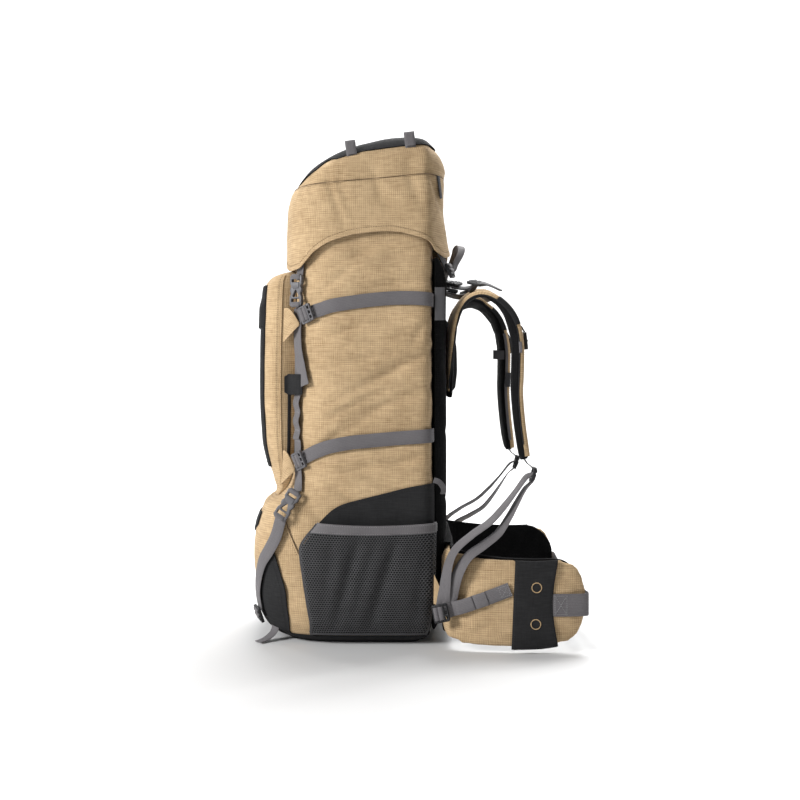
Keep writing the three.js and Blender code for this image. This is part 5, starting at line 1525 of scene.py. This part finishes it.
def unrolled(piece, line):
    """The cloth's own place on a padded piece: along a line in plan, and up."""
    points = coordinates(piece.data) / MM
    uv = np.stack([run_of(line)[nearest(points[:, :2], line[:, :2])], points[:, 2]], -1)
    corners = np.zeros(len(piece.data.loops), np.int32)
    piece.data.loops.foreach_get("vertex_index", corners)
    layer = piece.data.uv_layers.get("cloth") or piece.data.uv_layers.new(name="cloth")
    layer.data.foreach_set("uv", uv[corners].astype(np.float32).ravel())


def mirrored_copy(piece, name, node):
    """A padded piece's mirror image on the wearer's left."""
    mesh = piece.data.copy()
    mesh.vertices.foreach_set("co", (coordinates(mesh) * TO_LEFT).astype(np.float32).ravel())
    mesh.flip_normals()
    copy = bpy.data.objects.new(name, mesh)
    bpy.context.scene.collection.objects.link(copy)
    for modifier in piece.modifiers:
        finer = copy.modifiers.new(modifier.name, "SUBSURF")
        finer.levels = finer.render_levels = modifier.levels
    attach(copy, "root")
    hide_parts(node)


def padded_pieces():
    """Shoulder straps, belt, back panel and yoke: swollen, then pressed in at their seams."""
    _, line, across, face, width, thick = shoulder_frame(90)
    rings = round_section(line, across, width - 3, face, thick - 4, 4, 20)
    pad = tube(rings, np.zeros(21), run_of(line))
    strap_pad = make("shoulder_pad_right", [pad], FOAM, ["shoulder_strap_right"])
    middle, out, low, high, belt_thick = belt_frame(np.linspace(0, 1, 120))
    centre = middle - 0.7 * out + np.outer((low + high) / 2, UP)
    rings = round_section(centre, UP, high - low - 3, out, belt_thick - 5, 5, 40)
    halves = (rings, middle, out)
    rings, belt_line, belt_out = [np.concatenate([half[:0:-1] * TO_LEFT, half]) for half in halves]
    belt = make("belt_pad", [tube(rings, np.zeros(41), np.arange(len(rings)))], TAN, ["hip_belt"])
    degrees = np.linspace(-PAD_SPAN + 1, PAD_SPAN - 1, 60)
    z = np.linspace(PAD_LOW + 2, PAD_HIGH - 2, 120)[:, None]
    level = (2 * z - PAD_LOW - PAD_HIGH) / (PAD_HIGH - PAD_LOW)
    edge = np.maximum(1 - np.abs(degrees / PAD_SPAN) ** 24, 0) ** 0.3
    edge = edge * np.maximum(1 - np.abs(level) ** 30, 0) ** 0.3
    roll = (2.5 + 3.5 * smooth(z, 515, 535)) * smooth(np.abs(degrees), 40, 47) * smooth(z, 150, 178)
    raised = bag_point(degrees, z, 3 + (PAD_RISE - 4.5 + roll) * edge)
    pad = shell(raised, bag_point(degrees, z, 1.2), cloth_length(degrees), z)
    back = make("back_pad", [pad], FOAM, ["back_panel"])
    z, wide, deep = YOKE.T
    yoke_x = BACK_X + PAD_RISE + GAP - 1.2
    centre = np.stack([yoke_x + deep / 2, 0 * z, z], -1)
    rings = round_section(centre, SIDEWAYS, wide, (1.0, 0, 0), deep, 4, 24)
    yoke = make("yoke", [tube(rings, np.zeros(25), z)], FOAM, ["yoke_pad"])

    def outer_side(points):
        at = nearest(points, line)
        return np.sum((points - line[at]) * face[at], -1) < -2

    def inner_side(points):
        at = nearest(points[:, :2], belt_line[:, :2])
        return np.sum((points - belt_line[at])[:, :2] * belt_out[at][:, :2], -1) < -3

    def on_bag_side(points):
        return points[:, 0] < BACK_X + 2.6

    def on_back(points):
        return points[:, 0] < yoke_x + 2

    swell([
        (strap_pad, 4.2, 2.4, outer_side), (belt, 6, 4, inner_side),
        (back, 7, 5, on_bag_side), (yoke, 4, 4, on_back),
    ])
    unrolled(belt, belt_line)

    def back_seams(points):
        x, y, z = points.T
        across_seams = sum(bell(z - height, 3.2) for height in (120, 215, 310, 405))
        depth = 3.2 * bell(y, 7) + 2.2 * across_seams + 2.4 * bell(np.abs(y) - 92, 4)
        return smooth(x, 33, 38) * depth

    pressed(back, back_seams)
    pressed(belt, lambda p: 0.8 * (rumple(p, 40, 8.8) - 0.5))
    pressed(yoke, lambda p: 2.0 * bell(np.abs(p[:, 1]) - 24, 2.5) * smooth(p[:, 0], 50, 56))
    mirrored_copy(strap_pad, "shoulder_pad_left", "shoulder_strap_left")


def shoulder_covers():
    """The tan cover on the outside of each padded strap, its dark sleeve, slider and edge tab."""
    t, line, across, face, width, thick = shoulder_frame(160)
    columns = 24
    start = np.arcsin(powered(COVER_EDGE("edge", t), 2.5))[:, None]
    turn = math.pi - start + (math.pi + 2 * start) * np.linspace(0, 1, columns)
    a, b = powered(np.cos(turn), 0.4)[..., None], powered(np.sin(turn), 0.4)[..., None]

    def wrapped(rows, grow, soft=0.0):
        w, k = (width[rows] / 2 + grow)[:, None, None], (thick[rows] / 2 + grow)[:, None, None]
        flat = line[rows][:, None] + across[rows][:, None] * (a[rows] * w)
        lift = 0.6 * rumple(flat, 16, 5.1)[..., None] * soft
        return flat + face[rows][:, None] * (b[rows] * (k + lift))

    def beside(rows, side, grow, back):
        return line[rows] + across[rows] * (side * (width[rows] / 2 + grow))[:, None] - face[rows] * back

    run = run_of(line)
    lengths = np.linspace(-40, 40, columns)
    first, last = np.flatnonzero((t > 0.472) & (t < 0.602))[[0, -1]]
    covers = []
    for rows in (np.arange(6, first + 3), np.arange(last - 2, 158)):
        covers.append(shell(wrapped(rows, -0.1, 1.0), wrapped(rows, -1.4), lengths, run[rows]))
    pair("shoulder_cover", covers, TAN)
    rows = np.arange(first, last + 1)
    pair("shoulder_sleeve", [shell(wrapped(rows, 1.0), wrapped(rows, -0.6), lengths, run[rows])], BLACK)
    rows = np.arange(8, 149)
    pair("shoulder_piping", [rod(evenly(wrapped(rows, -0.2)[:, k], 3), 1.1) for k in (0, -1)], BLACK)
    seams = [stitches(wrapped(rows, 0.4)[:, k], -face[rows]) for k in (6, 17)]
    pair("shoulder_stitches", seams, TAN_THREAD)
    rows = np.arange(97, 150)
    pair("shoulder_rail", [strap(beside(rows, 1, 0.4, 1.4), face[rows], 4.6)], GREY)
    slits = [rounded(-8, -9, -2, 9, 1), rounded(2, -9, 8, 9, 1)]
    hook = spline([(-22, 0, -1.6), (-18, 0, 0.2), (-14, 0, 2.0), (-10, 0, 3.4)], np.linspace(0, 1, 20))
    slider = [plate(rounded(-13, -13, 13, 13, 3), slits, 4.5), bar(0, 20, 4, 3.5)]
    slider.append(strap(evenly(hook, 1.0), SIDEWAYS, 16, 1.6))
    at = 104
    seat = line[at] - face[at] * (STRAP_THICK / 2 + 1.6)
    pair("shoulder_slider", seated(slider, seat, line[at + 1] - line[at], -face[at]), DARK_PLASTIC)
    rows = np.arange(104, 110)
    make("shoulder_edge_tab", [strap(beside(rows, -1, 0.8, 2.6), face[rows], 4.6)], GREY)
    rows = np.arange(117, 125)
    edge = beside(rows, 1, 1.4, 4) * TO_LEFT
    make("shoulder_keeper", [strap(edge, face[rows] * TO_LEFT, 8.5, 2.4)], DARK_WEB)
    at = 109
    path = line[at] + across[at] * (width[at] / 2 - 4) + face[at] * 6 + np.array([
        (4, 0, 0), (-5, 1, 0), (-13, 2, 0.5), (-14.5, 3.2, 0.6), (-13, 4.4, 0.5), (-5, 4, 0), (3, 3, 0),
    ])
    tab = evenly(spline(path * TO_LEFT, np.linspace(0, 1, 40)), 1.2)
    make("sternum_tab", [strap(tab, UP, 15)], DARK_WEB)


def belt_lining():
    """The belt's lining with its edge binding, and the cover round its middle at the back."""
    t = np.linspace(0, 0.965, 110)
    line, _, low, high, _ = belt_frame(t)
    inset = 0.005 + 0.085 * smooth(t, 0.66, 0.9)
    rise = inset + 0.035 * smooth(t, 0.1, 0.25)
    v = np.linspace(0, 1, 28)[:, None]
    z = low + (high - low) * (rise + (1 - inset - rise) * v)
    outer, inner = [belt_point(t + 0 * v, z, height, -1) for height in (1.4, -0.8)]
    pair("belt_lining", [shell(outer, inner, run_of(line), z)], FOAM)
    rim_z = np.concatenate([high - (high - low) * inset, (low + (high - low) * rise)[::-1]])
    rim = belt_point(np.concatenate([t, t[::-1]]), rim_z, 0.6, -1)
    pair("belt_binding", [rod(evenly(rim, 3), 1.2)], BLACK)
    middle, out, low, high, thick = belt_frame(np.linspace(0, 0.195, 36))
    centre = middle + UP * ((low + high) / 2)[:, None]
    walls = []
    for grow in (1.6, -3):
        rings = round_section(centre, UP, high - low + grow, out, thick + grow, 5, 40)
        walls.append(np.concatenate([rings[:0:-1] * TO_LEFT, rings]))
    cover = shell(*walls, np.linspace(0, 270, 41), np.linspace(-150, 150, 71), True)
    make("belt_back_cover", [cover], FOAM)


def belt_dressing():
    """The belt's lining, dark panel with eyelets, webbing and buckle."""
    belt_lining()
    u = np.linspace(0, 1, 40)
    v = np.linspace(0, 1, 60)[:, None]
    rear = 0.557 + 0.012 * v
    place = rear + (0.713 - 0.02 * np.sin(math.pi * v) - rear) * u
    low, high = [edge.reshape(place.shape) for edge in belt_frame(place.ravel())[2:4]]
    z = low + 1.2 + (high - low - 2.4) * v
    outer = belt_point(place, z, 1.5 + 1.4 * soft_edge(u, 14) + 0 * v)
    panel = shell(outer, belt_point(place, z, -0.5), 60 * u + 0 * v, z)
    pair("belt_front_panel", [panel], BLACK, ["belt_panel"])
    rows = [stitches(outer[:, k], belt_frame(place[:, k])[1]) for k in (2, -3)]
    pair("belt_panel_stitches", rows, BLACK_THREAD)
    turn = np.linspace(0, 2 * math.pi, 48, endpoint=False)
    rings = []
    for t, z in ((0.636, 95), (0.633, 43.5)):
        along = unit(np.cross(belt_frame(np.array([t]))[1][0], UP))
        ring = 6.8 * np.outer(np.cos(turn), along) + 6.8 * np.outer(np.sin(turn), UP)
        rings.append(loop_rod(belt_point(t, float(z), 3.1) + ring, 0.65))
    pair("belt_eyelets", rings, TAN_THREAD)
    pair("waist_webbing", [free_strap(BELT_WEB, BELT_WEB_WIDTH)], GREY, ["belt_webbing"])
    spot, along, out = np.array([(204, -196.9, BELT_WEB_Z), (1.0, 0.04, 0), (0.04, -1.0, 0)])
    pair("waist_box_stitch", box_stitch(spot, along, UP, out, 17, 26), GREY_THREAD)
    stabilizer()
    seat = (BELT_WEB[-1][0] - 3.5, 0, BELT_WEB[-1][2])
    buckle = seated(clasp(64, 42), seat, (0, 1, 0), (1, 0, 0))
    make("waist_buckle", buckle, DARK_PLASTIC, ["belt_buckle"])


def stabilizer():
    """The strap that draws the belt to the bag: two folded steps, a sewn end, a lock and a cloth tab."""
    u = np.linspace(0, 1, 120)
    t = 0.27 + 0.283 * u
    z = 57 + 0.4 * (belt_point(t, 75 + 0 * u, GAP)[:, 0] - 44)
    # Shares of the strap's length between which each step rises, and then falls
    ends = [(0.36, 0.40, 0.583, 0.588), (0.592, 0.632, 0.742, 0.747)]
    steps = sum(1.8 * (smooth(u, a, b) - smooth(u, c, d)) for a, b, c, d in ends)
    face = belt_frame(t)[1]
    line = belt_point(t, z, GAP + WEB / 2 + 1.6 + steps)
    lead = 38
    line[:lead] = np.linspace((41, -180.5, 56.5), line[lead], lead, endpoint=False)
    along = unit(np.gradient(line, axis=0))
    upright = unit(UP - along * along[:, 2:3])
    laid_in = smooth(u, 0.24, 0.4)[:, None]
    across = upright * (1 - laid_in) + unit(np.cross(face, along)) * laid_in
    pair("belt_strap", [strap(line, across, WEB_WIDTH)], GREY, ["stabilizer_strap"])
    k = 112
    along = unit(line[k + 2] - line[k - 2])
    side = unit(np.cross(face[k], along))
    sewn = box_stitch(line[k] + face[k] * (WEB / 2 + 0.1), along, side, face[k], 14, 14)
    pair("belt_strap_stitch", sewn, GREY_THREAD)
    seat = (36, -177.5, 55), (0.95, -0.2, 0.22), (-0.25, -0.96, 0.1)
    fitting("belt_strap_lock", LOCK, seated, seat, (DARK_PLASTIC, GREY))
    u = np.linspace(0, 1, 20)[:, None]
    v = np.linspace(0, 1, 16)[None]
    root = np.linspace((26, -160, 107), (25.5, -160, 65), 20)[:, None]
    tip = np.linspace((41, -169, 75), (33, -167.5, 64), 20)[:, None]
    grid = root + (tip - root) * v[..., None]
    out = np.array([0.3, -0.95, 0])
    pair("belt_tab", [shell(grid + out * 1.6, grid, 46 * v + 0 * u, 44 * u)], TAN)


def harness():
    """The harness's free webbing and locks, the grab loop, and the anchors on the back."""
    pair("adjuster_web", [free_strap(ADJUSTER, WEB_WIDTH, 2.0)], GREY, ["adjuster_strap"])
    # The load lifter is grey webbing drawn in the dark webbing: its extra darkness is painted shade, for a
    # strap seen edge-on in shadow.
    pair("lifter_web", [free_strap(LIFTER, WEB_WIDTH, 2.0, 2.2)], DARK_WEB, ["load_lifter"])
    pair("hood_rear_web", [free_strap(LID_REAR, WEB_WIDTH, 2.0, 1.8)], GREY, ["lid_rear_strap"])
    make("grab_loop", [free_strap(HANDLE, 13, 2.0, 2.4)], GREY, ["grab_handle"])
    seat = (91, -103.5, 528.8), (1, -0.5, -0.16), (0.17, -0.22, 0.95)
    fitting("lifter_lock", LOCK, seated, seat, (DARK_PLASTIC, DARK_WEB), ["load_lifter_lock"])
    pair("lifter_anchor", [free_strap(LIFTER_ANCHOR, 17, 1.5, 2.2)], DARK_WEB)
    seat = (170.4, -126, 248.5), (-0.26, 0, -0.97), (0.97, 0, -0.26)
    fitting("strap_end_lock", LOCK, seated, seat, (DARK_PLASTIC, DARK_WEB), ["adjuster_lock"])
    pair("strap_end_web", [free_strap(STRAP_END, 17, 1.5, 1.6)], DARK_WEB)
    seat = (49.5, -107, 549), (0.36, 0, -0.93), (0.9, -0.26, 0.35)
    fitting("hood_rear_lock", LOCK, seated, seat, (DARK_PLASTIC, GREY))
    seat = (57, -79.5, 530.6), (1, -0.4, -0.12), (0.1, -0.24, 0.97)
    pair("lifter_slide", seated(ladder_lock(), *seat), DARK_PLASTIC)
    line = np.linspace((35.2, -143.5, 474), (35.2, -143.5, 522), 30)
    pair("back_anchor", [strap(line, (1.0, -0.2, 0), 15)], DARK_WEB)
    pair("back_loop", [free_strap(BACK_LOOP, 8, 1.5)], GREY)


place_camera()
stage()
bag()
base()
front_cloth()
side_panels()
mesh_pockets()
front_pocket()
front_panel()
lid()
lid_top()
compression_straps()
strap_tabs()
side_straps()
padded_pieces()
shoulder_covers()
belt_dressing()
harness()
